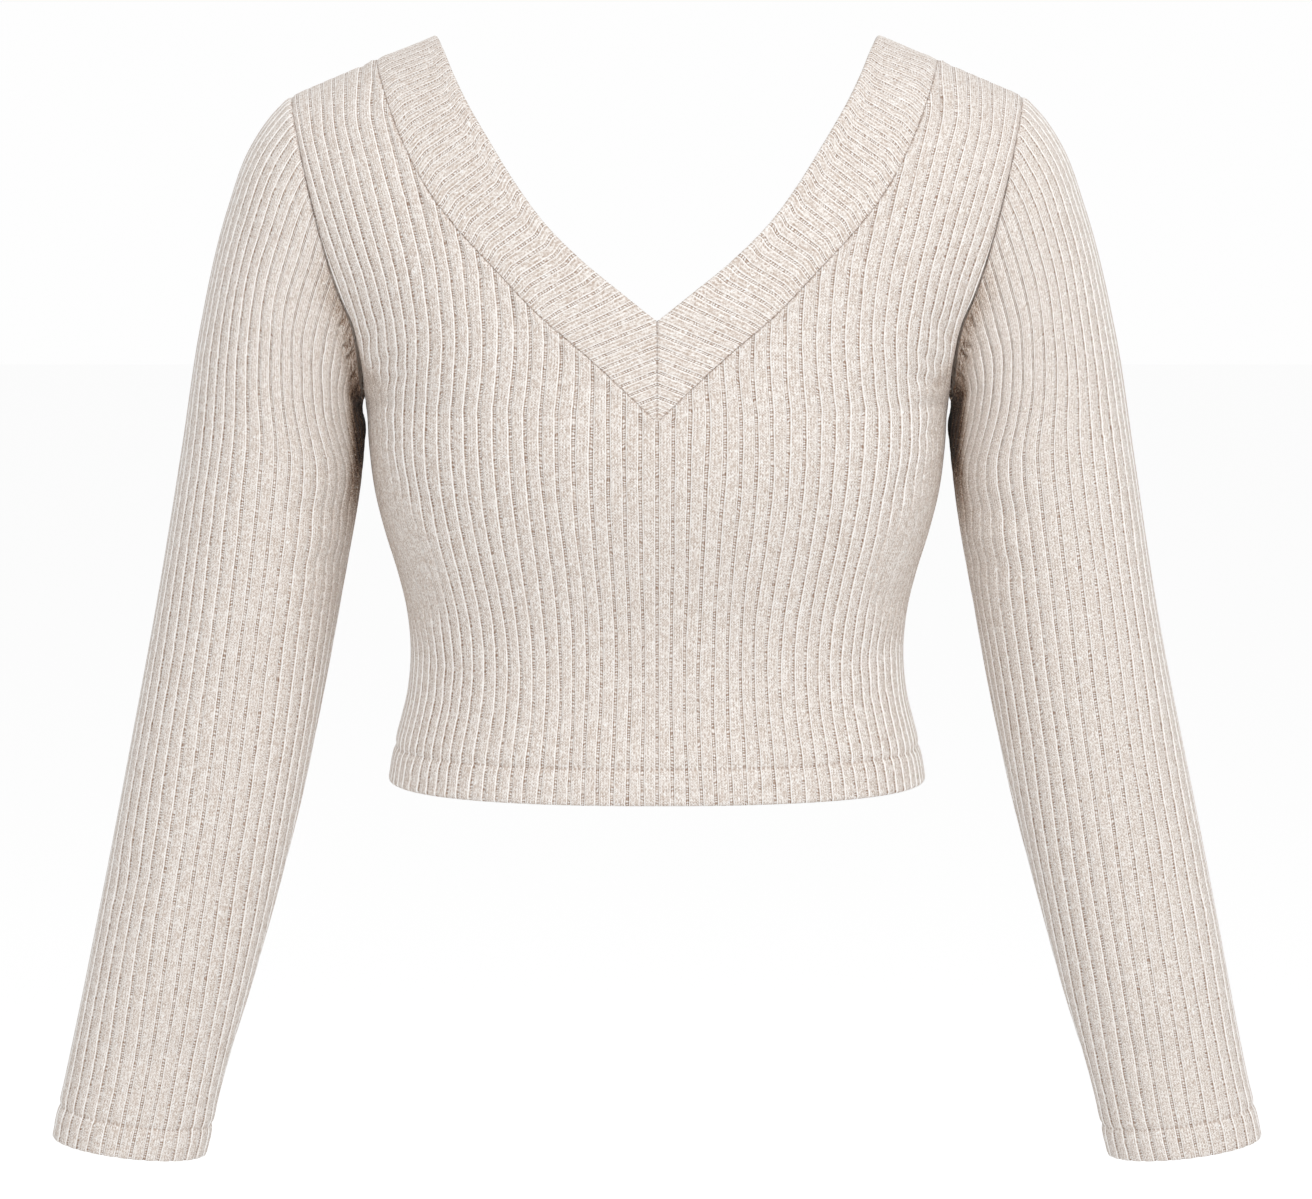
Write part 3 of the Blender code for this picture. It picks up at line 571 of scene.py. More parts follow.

# %% [markdown]
# ## Creases, placed one by one
# Worn knit has few folds, and they sit where the cloth is turned or squeezed: a fan of short folds at each
# underarm, a soft drag from the bust, a slack roll at the small of the back. Each is a line on the cloth,
# given by its ends in the front view, its bow, its width and its depth. A trough has a positive depth and a
# ridge a negative one, and both run out softly at their ends.

# %% Creases of the body
CREASES = {            # x0, z0, x1, z1, bow, width, depth
    "front": (
        (153.0, -176.0, 128.0, -158.0, 2.0, 3.4, 1.5),
        (154.5, -186.0, 120.0, -178.0, -2.0, 3.8, 1.7),
        (154.0, -196.0, 126.0, -199.0, -3.0, 3.6, 1.3),
        (152.0, -207.0, 132.0, -218.0, -2.5, 4.2, 1.1),
        (156.5, -164.0, 140.0, -139.0, 1.5, 3.6, 1.1),
        (138.0, -190.0, 96.0, -176.0, 5.0, 9.0, 1.2),
        (144.0, -228.0, 112.0, -262.0, -6.0, 9.5, 1.4),
        (130.0, -318.0, 88.0, -330.0, 4.0, 10.0, 1.3),
        (127.0, -338.0, 98.0, -351.0, 2.0, 7.0, 0.9),
        (131.0, -300.0, 104.0, -296.0, -2.0, 8.0, 0.8),
        (40.0, -352.0, -6.0, -356.0, 3.0, 11.0, 0.5),
    ),
    "back": (
        (153.0, -174.0, 120.0, -150.0, 3.0, 4.4, 1.6),
        (154.5, -187.0, 112.0, -174.0, -3.0, 4.6, 1.9),
        (153.0, -200.0, 118.0, -204.0, -4.0, 4.2, 1.4),
        (157.0, -160.0, 138.0, -128.0, 2.0, 4.0, 1.2),
        (128.0, -214.0, 70.0, -236.0, -8.0, 10.0, 1.5),
        (126.0, -304.0, 36.0, -311.0, 7.0, 9.0, 2.2),
        (128.0, -322.0, 20.0, -332.0, 9.0, 9.5, 2.6),
        (126.0, -341.0, 58.0, -352.0, 5.0, 8.0, 1.6),
        (70.0, -290.0, 6.0, -292.0, 5.0, 11.0, 1.2),
    ),
}
HAND_SHARE = {1: 1.0, -1: 0.86}     # the right half's creases are a little shallower,
HAND_SHIFT = {1: 0.0, -1: -3.5}     # those that start within INNER_X lie lower,
HAND_BOW = {1: 1.0, -1: 1.3}        # and all bow more
INNER_X = 150.0
CENTRE_CALM = 12.0     # creases fade out this close to the centre, where the two halves meet


def bowed_line(start, end, bow, count=9):
    """Points from start to end, moved square to the line by bow times a parabola."""
    t = np.linspace(0, 1, count)[:, None]
    way = np.subtract(end, start)
    square = np.array([-way[1], way[0]]) / np.hypot(*way)
    return start + way * t + square * bow * 4 * t * (1 - t)


def crease_depth(points, line, width, deep):
    """How far a crease lowers the cloth: a bell across it, a quick swell and a slow fade along it."""
    distance, share = nearest(points, line)
    return deep * hump(distance, width) * fade(share, 0, 0.3) * fade(1 - share, 0, 0.45)


def body_creases(side, points, hand):
    """The sum of all creases of one side's half, at points given as if they lay on the left half."""
    total = np.zeros(points.shape[:-1])
    for x0, z0, x1, z1, bow, width, deep in CREASES[side]:
        shift = HAND_SHIFT[hand] * (x0 < INNER_X)
        x, z = bowed_line((x0, z0 + shift), (x1, z1 + shift), bow * HAND_BOW[hand]).T
        path = triple(x, SIGN[side] * depth(x, z, side), z)
        total += crease_depth(points, path, width, deep * HAND_SHARE[hand])
    return total * fade(points[..., 0], 0, CENTRE_CALM)


print("creases on the body:", 2 * sum(len(rows) for rows in CREASES.values()))

# %% [markdown]
# ## Front and back
# A panel is knitted sideways in ribs and cut to shape. Its rows lie close together where the cloth turns:
# round the fold of the hem, at the hem's stitching and over the shoulder. The hem is turned up once and
# stitched 19 mm above its edge, which draws a shallow groove into the ribs. At every sewn edge the cloth
# dips into the seam over the last two millimetres, and just beside it stands a little proud, as sewn knit
# does.

# %% Hem and seam profiles
CLOTH = 1.5
HALF_CLOTH = 0.45      # the thickness is counted from so far under the cloth's middle
TURNED_OVER = 2.5      # the inner face steps down to the turned hem over this height
HEM_FOLD = 19.0
HEM_ROWS = HEM_FOLD + np.array([-14.5, -11.5, -8.5, -5.8, -3.6, -2.0, -1.0, 0.0, 1.0, 2.0, 3.6])
FOLD_RADIUS = 1.7      # of the rounded bottom edge, half the thickness of the doubled cloth
FOLD_TURNS = np.radians([180, 150, 120, 90, 60, 30, 0])
FOLD_LAST = len(FOLD_TURNS) - 1
SEAM_DIP = 0.8
SEAM_REACH = 1.2
SEAM_SWELL = 0.28
SEAM_TUCK = 0.5        # the inner face lies this much deeper along a seam
NECK_DIP = 0.14
NECK_SWELL = 0.75      # at the neckband's seam every rib ends in a small round bump
FAR = 99.0             # stands for no seam near


def fold_rows(radius):
    """The rows round a fold, from the inner face to the outer: how far each lies from the edge, and how far
    under the outer face."""
    return radius * (1 - np.sin(FOLD_TURNS)), radius * (1 - np.cos(FOLD_TURNS))


def hem_profile(height):
    """What the turned hem does to the outer face: a groove at its stitching and a soft swell to each side."""
    groove = 0.75 * hump(height - HEM_FOLD, 1.5)
    swell = 0.35 * hump(height - HEM_FOLD + 7.5, 5.0) + 0.18 * hump(height - HEM_FOLD - 6.0, 4.0)
    return swell - groove


def thickness(height):
    """How far the inner face lies under the cloth's middle: one cloth more below the hem's stitching."""
    return HALF_CLOTH + CLOTH * (1 + fade(HEM_FOLD + 1.8 - height, 0, TURNED_OVER))


def seam_profile(distance):
    """The dip into a seam and the swell beside it, by distance from the sewn edge."""
    return SEAM_SWELL * hump(distance - 4.5, 2.6) - SEAM_DIP * hump(distance, SEAM_REACH)


def neck_profile(distance):
    """The same at the neckband's seam, where the swell is close and the dip narrow."""
    return NECK_SWELL * hump(distance - 2.2, 1.6) - NECK_DIP * hump(distance, 0.8)


print("at its stitching the hem dips", round(float(-hem_profile(HEM_FOLD)), 2), "mm")

# %% [markdown]
# ### Wandering ribs and pressed cloth
# No two ribs of real knit run alike, so slow waves move them sideways a little. Under the arm the body
# presses the sleeve and the panel flat, so there the ribs lose their relief. Such narrow places get painted
# shade in the colour, counted as light thrown back from wool to wool several times, each time taking on the
# wool's colour once more. The cloth carries the number of those extra bounces, and for each the material
# raises its colour by one power more, so the painted shade is darker and browner.

# %% Wander, pressing and painted shade
BOUNCE = 2.45          # 1 over minus the logarithm of 0.665, the wool's lightness
DARKEST = 0.03         # least share of the light that is counted


def rib_wander(rib, run, seed):
    """Sideways drift of the ribs, in ribs: slow waves of three lengths, so that no two ribs run alike."""
    slow = np.sin(run / 31.0 + 0.9 * rib + seed) * np.sin(run / 47.0 - 0.35 * rib + 2 * seed)
    quick = np.sin(run / 11.0 + 1.7 * rib + 3 * seed) * np.sin(rib * 0.61 + run / 29.0)
    return 0.075 * slow + 0.03 * quick


def under_arm(from_end, v):
    """1 where the panel is pressed flat under the arm and 0 elsewhere, by ribs from the side seam and row."""
    reach = 7.5 - 5.5 * fade(v, 0, 0.16) + 4.5 * hump(v + 0.4, 0.2)
    return fade(reach - from_end, 0, 3) * fade(v, -0.74, -0.44) * fade(v, 0.3, 0.14)


def shade_bounces(light):
    """Painted shade: how often wool throws light back before it leaves a narrow place keeping this share of
    it.
    """
    return -BOUNCE * np.log(np.clip(light, DARKEST, 1))


print("a place that keeps half of the light:", round(float(shade_bounces(0.5)), 2), "shade_bounces")

# %% [markdown]
# ### Cutting and sewing a panel
# Every point of a panel starts on the body's surface and moves along the surface's own direction. How far
# is a sum of small parts: the ribs' relief, the seams, the hem, the creases and a slow slack. The inner
# face takes only the soft parts, so it stays plain.

# %% Panel surface
ROW_STEP = 2.35
ROLL_SHARE = 0.37      # of the height above the underarm rolls over the shoulder
ROLL_ROWS = 50
DRAG_DEPTH = 1.2       # just below the neckband's seam the cloth is drawn in at the grooves
DRAG_AT = 5.5
DRAG_REACH = 5.5
DRAG_SHARE = 0.3
PRESSED = 0.85         # share of the relief that is lost under the arm,
SHOULDER_CALM = 0.85   # on the stretched shoulder line,
UPPER_CALM = 0.22      # and on the whole upper half
LEAST_SIDE = 5.6       # width of the narrowest ribs along the side seam,
LEAST_NECK = 6.0       # and along the neckband
PANEL_SLACK = 0.45
PANEL_SHADE = 0.2      # share of the light taken off by painted shade right at the side seam under the arm
OFF_CENTRE = 0.06      # front and back each stand off by so much, which keeps their seams apart
INNER_STEP = 1.0       # ribs between two columns of the plain inner face
LINE_STEP = 6          # every sixth point of a fine line is enough to measure from


def panel_rows(tip):
    """Rows and their depth round the hem's fold: seven round the fold, then even ones, then the roll."""
    fold, inset = fold_rows(FOLD_RADIUS)
    step, upper_step = ROW_STEP / LOWER_TALL, ROW_STEP / UPPER_TALL
    below = np.arange(HEM_ROWS[-1] / LOWER_TALL - 1, tip, step)[1:]
    above = np.arange(tip, 1 - ROLL_SHARE, upper_step)
    below = below[below < tip - 0.3 * step]
    above = above[above < 1 - ROLL_SHARE - 0.3 * upper_step]
    roll = 1 - ROLL_SHARE * (1 - np.cos(np.linspace(np.pi / 2, 0, ROLL_ROWS)))
    rows = np.concatenate([fold / LOWER_TALL - 1, HEM_ROWS / LOWER_TALL - 1, below, above, roll])
    return rows, np.append(inset, np.zeros(len(rows) - len(inset)))


def make_panel(side, seed):
    """Both halves of a panel: an outer grid over an inner one, joined at hem, sides, armholes and neck."""
    torso = torsos[side]
    neck_rib, neck_row = torso.rib_at(*neck_curve(NECK_SEAM[side], -NECK_GAP / 2))
    neck_line = torso.place(neck_rib, neck_row)[::LINE_STEP]
    hole_line = torso.place(torso.end_rib(torso.rows), torso.rows)[::LINE_STEP]
    rows, inset = panel_rows(neck_row[0])
    v, inset = rows[:, None], inset[:, None]
    below = v <= neck_row[0]
    low = np.where(below, 0, np.interp(v, neck_row, neck_rib))
    high = torso.end_rib(v)
    height = (v + 1) * LOWER_TALL
    round_fold = 1 - inset / (2 * FOLD_RADIUS)

    def skin(numbers, is_outer, hand):
        """Points, knit and edge numbers, and vertex numbers, of one half's outer or inner face."""
        rib, index, first, last = clamp_columns(numbers, low, high, 0.045)
        from_end = high - rib
        run = torso.run(rib, v)
        to_edge = np.minimum(from_end * LEAST_SIDE, (rib - low) * LEAST_NECK + FAR * (low == 0))
        free = fade(to_edge, 1, 13) * fade(rib, 0, 1.5)
        middle = torso.place(rib + rib_wander(hand * rib, run, seed) * free, v)
        normal = torso.normal(rib, v)
        middle[..., 1] += SIGN[side] * OFF_CENTRE
        hole, _ = nearest(middle, hole_line)
        neck, _ = nearest(middle, neck_line)
        fallen = np.clip((shoulder_z(middle[..., 0]) - middle[..., 2]) / SHOULDER_ROUND[side], 0, 1)
        sewn = np.minimum(hole, SHOULDER_ROUND[side] * np.arccos(1 - fallen))
        seam = np.minimum(sewn, neck)
        flat = under_arm(from_end, v)
        slack = PANEL_SLACK * np.sin(run / 38.0 + rib * 0.21 + seed) * np.sin(rib * 0.34 + seed)
        offset = slack * fade(seam, 0, 30) * fade(rib, 0, 3) - body_creases(side, middle, hand)
        if is_outer:
            kept = fade(sewn, 0, 2.2) * fade(neck, 0, 1.2) * (1 - PRESSED * flat)
            kept = kept * (1 - SHOULDER_CALM * fade(v, 0.88, 0.96)) * (1 - UPPER_CALM * fade(v, 0.5, 0.7))
            drag = DRAG_DEPTH * (0.6 + 0.4 * np.sin(rib * 2.4 + hand)) * hump(neck - DRAG_AT, DRAG_REACH)
            relief = rib_relief(rib) * kept * round_fold - drag * fade(1 - from_groove(rib) / DRAG_SHARE)
            offset = offset + relief + seam_profile(sewn) + neck_profile(neck)
            offset = offset + hem_profile(height) * round_fold - inset
        else:
            offset = offset - thickness(height) - SEAM_TUCK * hump(seam, SEAM_REACH)
        points = middle + normal * offset[..., None]
        # painted shade beside the side seam under the arm, as bounces of light
        shade = shade_bounces(1 - PANEL_SHADE * flat * fade(from_end, 8, 0))
        ids = np.arange(len(rows))[:, None] * len(numbers) + index
        return points, triple(rib, run, seed), triple(seam, flat, shade), ids, first, last

    points, knit, edge, faces, edges = [], [], [], [], {}
    for is_outer, columns in ((True, rib_columns(0, int(BODY_RIBS), RIB_SHARES)),
                              (False, np.arange(0, BODY_RIBS + 0.1, INNER_STEP))):
        start = sum(grid[..., 0].size for grid in points)
        for hand in (1, -1):
            place, where, near, ids, first, last = skin(columns, is_outer, hand)
            numbers = ids + start
            if hand < 0:
                is_shared = below & (ids % len(columns) == 0)
                numbers = np.where(is_shared, numbers, numbers + place[..., 0].size)
            points.append(place * [hand, 1, 1])
            knit.append(where * [hand, 1, 1])
            edge.append(near)
            faces.append(grid_faces(numbers if is_outer else numbers[FOLD_LAST:]))
            edges[is_outer, hand] = (numbers, first, last)
    tip = int(below.sum()) - 1
    rim = np.arange(len(rows))
    for hand in (1, -1):
        (out_ids, first, last), (in_ids, in_first, in_last) = edges[True, hand], edges[False, hand]
        out_high, in_high = out_ids[rim, last], in_ids[rim, in_last]
        out_low, in_low = out_ids[rim, first], in_ids[rim, in_first]
        cap = out_high[:FOLD_LAST + 1]
        faces += [
            zip_strip(out_ids[0, :last[0] + 1], in_ids[FOLD_LAST, :in_last[FOLD_LAST] + 1]),
            zip_strip(out_ids[-1, first[-1]:last[-1] + 1], in_ids[-1, in_first[-1]:in_last[-1] + 1]),
            grid_faces(np.stack([out_high[FOLD_LAST:], in_high[FOLD_LAST:]], axis=-1)),
            np.stack([cap[:-1], cap[1:], np.full(FOLD_LAST, in_high[FOLD_LAST])], axis=-1),
            grid_faces(np.stack([out_low[tip:], in_low[tip:]], axis=-1)),
        ]
    return make_cloth(side + "_cloth", 1, points, faces, knit, edge)


pieces = {side: make_panel(side, seed) for side, seed in (("front", 1.0), ("back", 2.0))}

# %% [markdown]
# ## Sleeves
# A set-in sleeve starts as the closed armhole and turns, within the first 130 mm, into a plain oval that
# tapers to the wrist. Its ribs run parallel to the top line at an even pitch, so they are cut off one by
# one along the underarm seam as the sleeve narrows. The rings below are lines across the sleeve at chosen
# distances along the top.

# %% Sleeve sizes
SLEEVE_RIBS = 24       # at most, to each side of the top line
SLEEVE_PITCH = 7.75
CAP_PITCH = 6.65       # the ribs are drawn closer together over the cap
SLEEVE = table(
    "top_x top_z under_x under_z half_depth",
    (194.2, -32.3, 155.7, -195.0, 56.0),
    (203.5, -41.0, 156.1, -197.2, 56.0),
    (216.3, -59.4, 156.3, -200.0, 55.5),
    (228.6, -91.8, 156.7, -204.5, 54.5),
    (244.5, -156.6, 157.6, -216.5, 52.5),
    (255.3, -221.3, 161.1, -248.0, 50.5),
    (270.2, -307.8, 175.7, -326.0, 46.5),
    (287.2, -394.3, 194.4, -414.0, 41.0),
    (305.0, -480.0, 216.9, -498.0, 36.0),
    (323.6, -567.0, 241.4, -580.0, 31.5),
    (330.6, -597.0, 247.5, -608.0, 31.0),
)
SLEEVE_TOP = np.stack([SLEEVE["top_x"], SLEEVE["top_z"]], axis=-1)
SLEEVE_RUN = lengths(SLEEVE_TOP)
SLEEVE_LONG = SLEEVE_RUN[-1]
CAP_REACH = 130.0
SPREAD = (60.0, 190.0)     # along the sleeve, the stretch over which the pitch widens,
EVEN = (100.0, 180.0)      # and over which the ribs turn to even steps round the plain oval
CAP_WIDTH = 105.0          # of the plain oval where the cap ends
CAP_ACROSS = np.array([0.824, 0.568])      # across and down that oval, in the front view
CAP_DOWN = np.array([0.568, -0.824])
CAP_GAP = 0.15             # the sleeve starts so far from the armhole,
ARM_CLEAR = 1.1            # so much farther under the arm,
ARM_FOLD = 82.0            # and there it is turned back by so many degrees
MID = FINE // 2            # the point of a ring on the top line


def armhole_ring():
    """The armhole as a closed run of shares from -1 (back) over 0 (shoulder) to 1 (front, underarm)."""
    rings = []
    v = (1 - np.cos(np.linspace(np.pi, 0, FINE))) / 2
    for side in ("back", "front"):
        rib = torsos[side].end_rib(v)
        points = torsos[side].place(rib, v)
        normal = torsos[side].normal(rib, v)
        outward = np.cross(unit(np.gradient(points, axis=0)), normal) * SIGN[side]
        run = lengths(points)
        rings.append((run / run[-1] * -SIGN[side], points, unit(normal), unit(outward)))
    return [np.concatenate([back[:0:-1], front]) for back, front in zip(*rings)]


def sleeve_start(share):
    """First ring of the sleeve, clear of the body and turned back on it under the arm, and the way across."""
    run, points, normal, outward = armhole_ring()
    fold = np.radians(ARM_FOLD) * fade(np.abs(run), 0.45, 1)
    step = CAP_GAP + ARM_CLEAR * fade(np.abs(run), 0.55, 1)
    way = outward * np.cos(fold)[:, None] + normal * np.sin(fold)[:, None]
    ring = points + way * step[:, None]
    return [triple(*[np.interp(share, run, axis) for axis in field.T]) for field in (ring, outward)]


def sleeve_sections(along):
    """Rings at distances along the top line, each with FINE points in even steps, and half their length."""
    columns = [smooth(along, SLEEVE_RUN, column)[:, None] for column in SLEEVE.values()]
    top_x, top_z, under_x, under_z, half_depth = columns
    ring, _ = sleeve_start(np.linspace(-1, 1, FINE))
    line = np.array([SLEEVE["under_x"][0], SLEEVE["under_z"][0]]) - SLEEVE_TOP[0]
    size = np.hypot(*line)
    line = line / size
    off = ring[:, [0, 2]] - SLEEVE_TOP[0]
    angle = np.pi * np.linspace(-1, 1, FINE)
    keep = 1 - fade(along, 0, CAP_REACH)[:, None]
    down = keep * (off @ line / size) + (1 - keep) * (1 - np.cos(angle)) / 2
    deep = keep * ring[:, 1] / SLEEVE["half_depth"][0] - (1 - keep) * np.sin(angle)
    bulge = keep * (off[:, 0] * line[1] - off[:, 1] * line[0])
    dx, dz = under_x - top_x, under_z - top_z
    width = np.hypot(dx, dz)
    points = triple(top_x + dx * down + bulge * dz / width, half_depth * deep,
                    top_z + dz * down - bulge * dx / width)
    run = lengths(points)
    back = np.linspace(run[:, 0], run[:, MID], MID + 1, axis=1)
    front = np.linspace(run[:, MID], run[:, -1], MID + 1, axis=1)
    return resample(np.concatenate([back, front[:, 1:]], axis=1), run, points), run[:, -1:] / 2


def sleeve_ribs(along, sections, half_length):
    """Rib number at every point of the rings, 0 on the top line. Below the cap it is the way round over the
    pitch. In the cap the ribs keep their direction, so it comes from the plain oval through the point: at t
    across from the top line the turn is arccos(1 - 2 t / width), and the arc is half the width times it."""
    share = np.linspace(-1, 1, FINE)
    pitch = CAP_PITCH + (SLEEVE_PITCH - CAP_PITCH) * fade(along, *SPREAD)[:, None]
    fine = np.linspace(0, SLEEVE_LONG, FINE)
    top = np.stack([smooth(fine, SLEEVE_RUN, axis) for axis in SLEEVE_TOP.T], axis=-1)
    flat = sections[..., [0, 2]]
    t = np.interp(flat @ CAP_DOWN, top @ CAP_DOWN, top @ CAP_ACROSS) - flat @ CAP_ACROSS
    turn = np.arccos(np.clip(1 - 2 * (t - t[:, MID:MID + 1]) / CAP_WIDTH, -1, 1))
    keep = 1 - fade(along, *EVEN)[:, None]
    numbers = (keep * np.sign(share) * turn * CAP_WIDTH / 2 + (1 - keep) * share * half_length) / pitch
    return np.maximum.accumulate(numbers + share * 1e-6, axis=1)


print("sleeve:", round(SLEEVE_LONG), "mm along the top")

# %% [markdown]
# The creases of a sleeve are named by the distance down its top line and the turn round it in degrees: 0 is
# the top line, 90 the front, 180 the underarm and -90 the back. The deepest are under the arm, where the
# body holds the sleeve, and inside the elbow. The tucks are short folds pinched in the armhole's seam; they
# are named in the front view.

# %% Sleeve folds
SLEEVE_CREASES = (     # distance and turn of both ends, width, depth
    (14.0, 172.0, 60.0, 118.0, 4.0, 1.7),
    (8.0, 158.0, 48.0, 104.0, 4.2, 1.3),
    (30.0, 178.0, 92.0, 132.0, 5.0, 1.6),
    (10.0, -160.0, 58.0, -104.0, 4.6, 1.6),
    (26.0, -176.0, 88.0, -126.0, 5.5, 1.8),
    (120.0, 168.0, 150.0, 96.0, 9.0, 1.3),
    (212.0, 176.0, 232.0, 92.0, 8.0, 1.7),
    (236.0, 178.0, 246.0, 104.0, 7.0, 1.4),
    (262.0, 172.0, 266.0, 118.0, 8.0, 1.1),
    (204.0, -172.0, 226.0, -88.0, 8.5, 1.8),
    (240.0, -178.0, 252.0, -96.0, 7.5, 1.6),
    (330.0, 60.0, 372.0, 30.0, 12.0, 0.8),
    (420.0, -70.0, 452.0, -24.0, 11.0, 0.9),
    (498.0, 150.0, 508.0, 80.0, 8.0, 1.0),
    (520.0, -140.0, 534.0, -60.0, 8.0, 1.1),
)
TUCKS = (              # x0, z0, x1, z1, width, depth
    (166.5, -138.0, 170.0, -146.0, 0.8, 0.6),
    (163.6, -146.0, 168.5, -155.0, 0.9, 0.9),
    (161.6, -152.5, 166.0, -160.5, 0.8, 0.6),
    (160.3, -158.5, 166.2, -166.5, 0.9, 1.1),
    (158.6, -164.5, 165.2, -173.0, 1.0, 1.2),
    (158.0, -170.5, 162.6, -177.0, 0.8, 0.7),
    (157.4, -175.5, 163.2, -184.5, 0.9, 1.0),
    (156.9, -183.0, 162.4, -193.0, 1.0, 1.0),
    (156.7, -191.0, 161.4, -202.0, 1.0, 0.8),
    (160.2, -162.0, 165.6, -170.0, 0.8, -0.6),
    (158.2, -173.2, 163.4, -181.0, 0.8, -0.6),
    (157.0, -187.2, 161.8, -197.5, 0.9, -0.5),
)
TUCK_DEPTH = 1.6
TUCK_BOW = -1.2
BACK_TUCKS = 1.15      # the tucks of the back are this much deeper
SLEEVE_SLACK = 0.5


def tucked(points, sections):
    """How deep each point lies in the short folds at the seam, about -0.5 to 1."""
    total = np.zeros(points.shape[:-1])
    for face, deeper in ((MID, 1.0), (0, BACK_TUCKS)):
        cloth = sections[:, face:face + MID + 1].reshape(-1, 3)
        for x0, z0, x1, z1, width, deep in TUCKS:
            line = bowed_line((x0, z0), (x1, z1), TUCK_BOW, 7)
            path = cloth[((cloth[:, None, [0, 2]] - line) ** 2).sum(-1).argmin(0)]
            total += crease_depth(points, path, width, deep * deeper)
    return total


def sleeve_drape(points, length, turn, seed):
    """Creases and slack of the cloth at points given with their distance and turn."""
    total = np.zeros(points.shape[:-1])
    way = np.linspace(0, 1, 9)
    for a0, t0, a1, t1, width, deep in SLEEVE_CREASES:
        ring, _ = sleeve_sections(a0 + (a1 - a0) * way)
        line_turn = t0 + (t1 - t0) * way + 6 * np.sin(np.pi * way)
        pick = (0.5 - line_turn / 360) % 1 * (FINE - 1)
        path = ring[np.arange(9), pick.astype(int)]
        total -= crease_depth(points, path, width, deep * (1 + 0.15 * np.sin(seed * 3 + a0)))
    slack = SLEEVE_SLACK * np.sin(length / 41.0 + turn / 34.0 + seed) * np.sin(turn / 47.0 + seed * 2)
    return total + slack * fade(length, 0, 60) * fade(SLEEVE_LONG - length, 0, 40)


print("folds on a sleeve:", len(SLEEVE_CREASES), "creases and", 2 * len(TUCKS), "tucks")

# %% [markdown]
# ### Cutting and sewing a sleeve
# The sleeve is built like a panel, closed into a tube. On the side next to the body its ribs are calmer,
# and painted shade darkens the colour in three narrow places: in the gap between sleeve and body, beside
# the armhole's seam, and inside the tucks.

# %% Sleeve surface
SLEEVE_SHARES = np.array([0.0, 0.075, 0.15, 0.25, 0.5, 0.75, 0.85, 0.925])
SLEEVE_STEP = 2.7
CAP_ROWS = (0.0, 0.9, 2.0, 3.3, 5.0, 7.2)
INNER_TURNS = 24
INSIDE_CALM = 0.6      # share of the relief lost next to the body
SEAM_SHADE = 0.45      # share of the light taken off by painted shade beside the seam,
TUCK_SHADE = 0.6       # and in a tuck


def sleeve_rows():
    """Distances down the top line, close together at the armhole and the hem, then round the cuff's fold."""
    hem = SLEEVE_LONG - HEM_ROWS[::-1]
    count = int((hem[0] - CAP_ROWS[-1]) / SLEEVE_STEP)
    plain = np.linspace(CAP_ROWS[-1], hem[0], count)[1:-1]
    fold, inset = [part[::-1] for part in fold_rows(FOLD_RADIUS)]
    along = np.concatenate([CAP_ROWS, plain, hem, SLEEVE_LONG - fold])
    return along, np.append(np.zeros(len(along) - len(inset)), inset)


def sleeve_pressing(place, hole):
    """How flat the ribs are pressed next to the body, and the share of light that its painted shade leaves.
    """
    z = place[..., 2]
    inside = place[..., 0] - np.interp(-z, -SLEEVE["under_z"], SLEEVE["under_x"])
    calm = INSIDE_CALM * fade(inside, 22, 10) * fade(z, -165, -195) * fade(z, -350, -280)
    reach = 9.2 - 2.4 * fade(z, -198, -228)
    # painted shade in the gap between sleeve and body, and beside the armhole's seam
    pit_shade = fade(reach - inside, 0, 5.5) * fade(z, -170, -196) * fade(z, -274, -218)
    seam_side_shade = SEAM_SHADE * hump(hole, 8.0) * fade(z, -108, -143)
    return calm, (1 - seam_side_shade) * (1 - pit_shade)


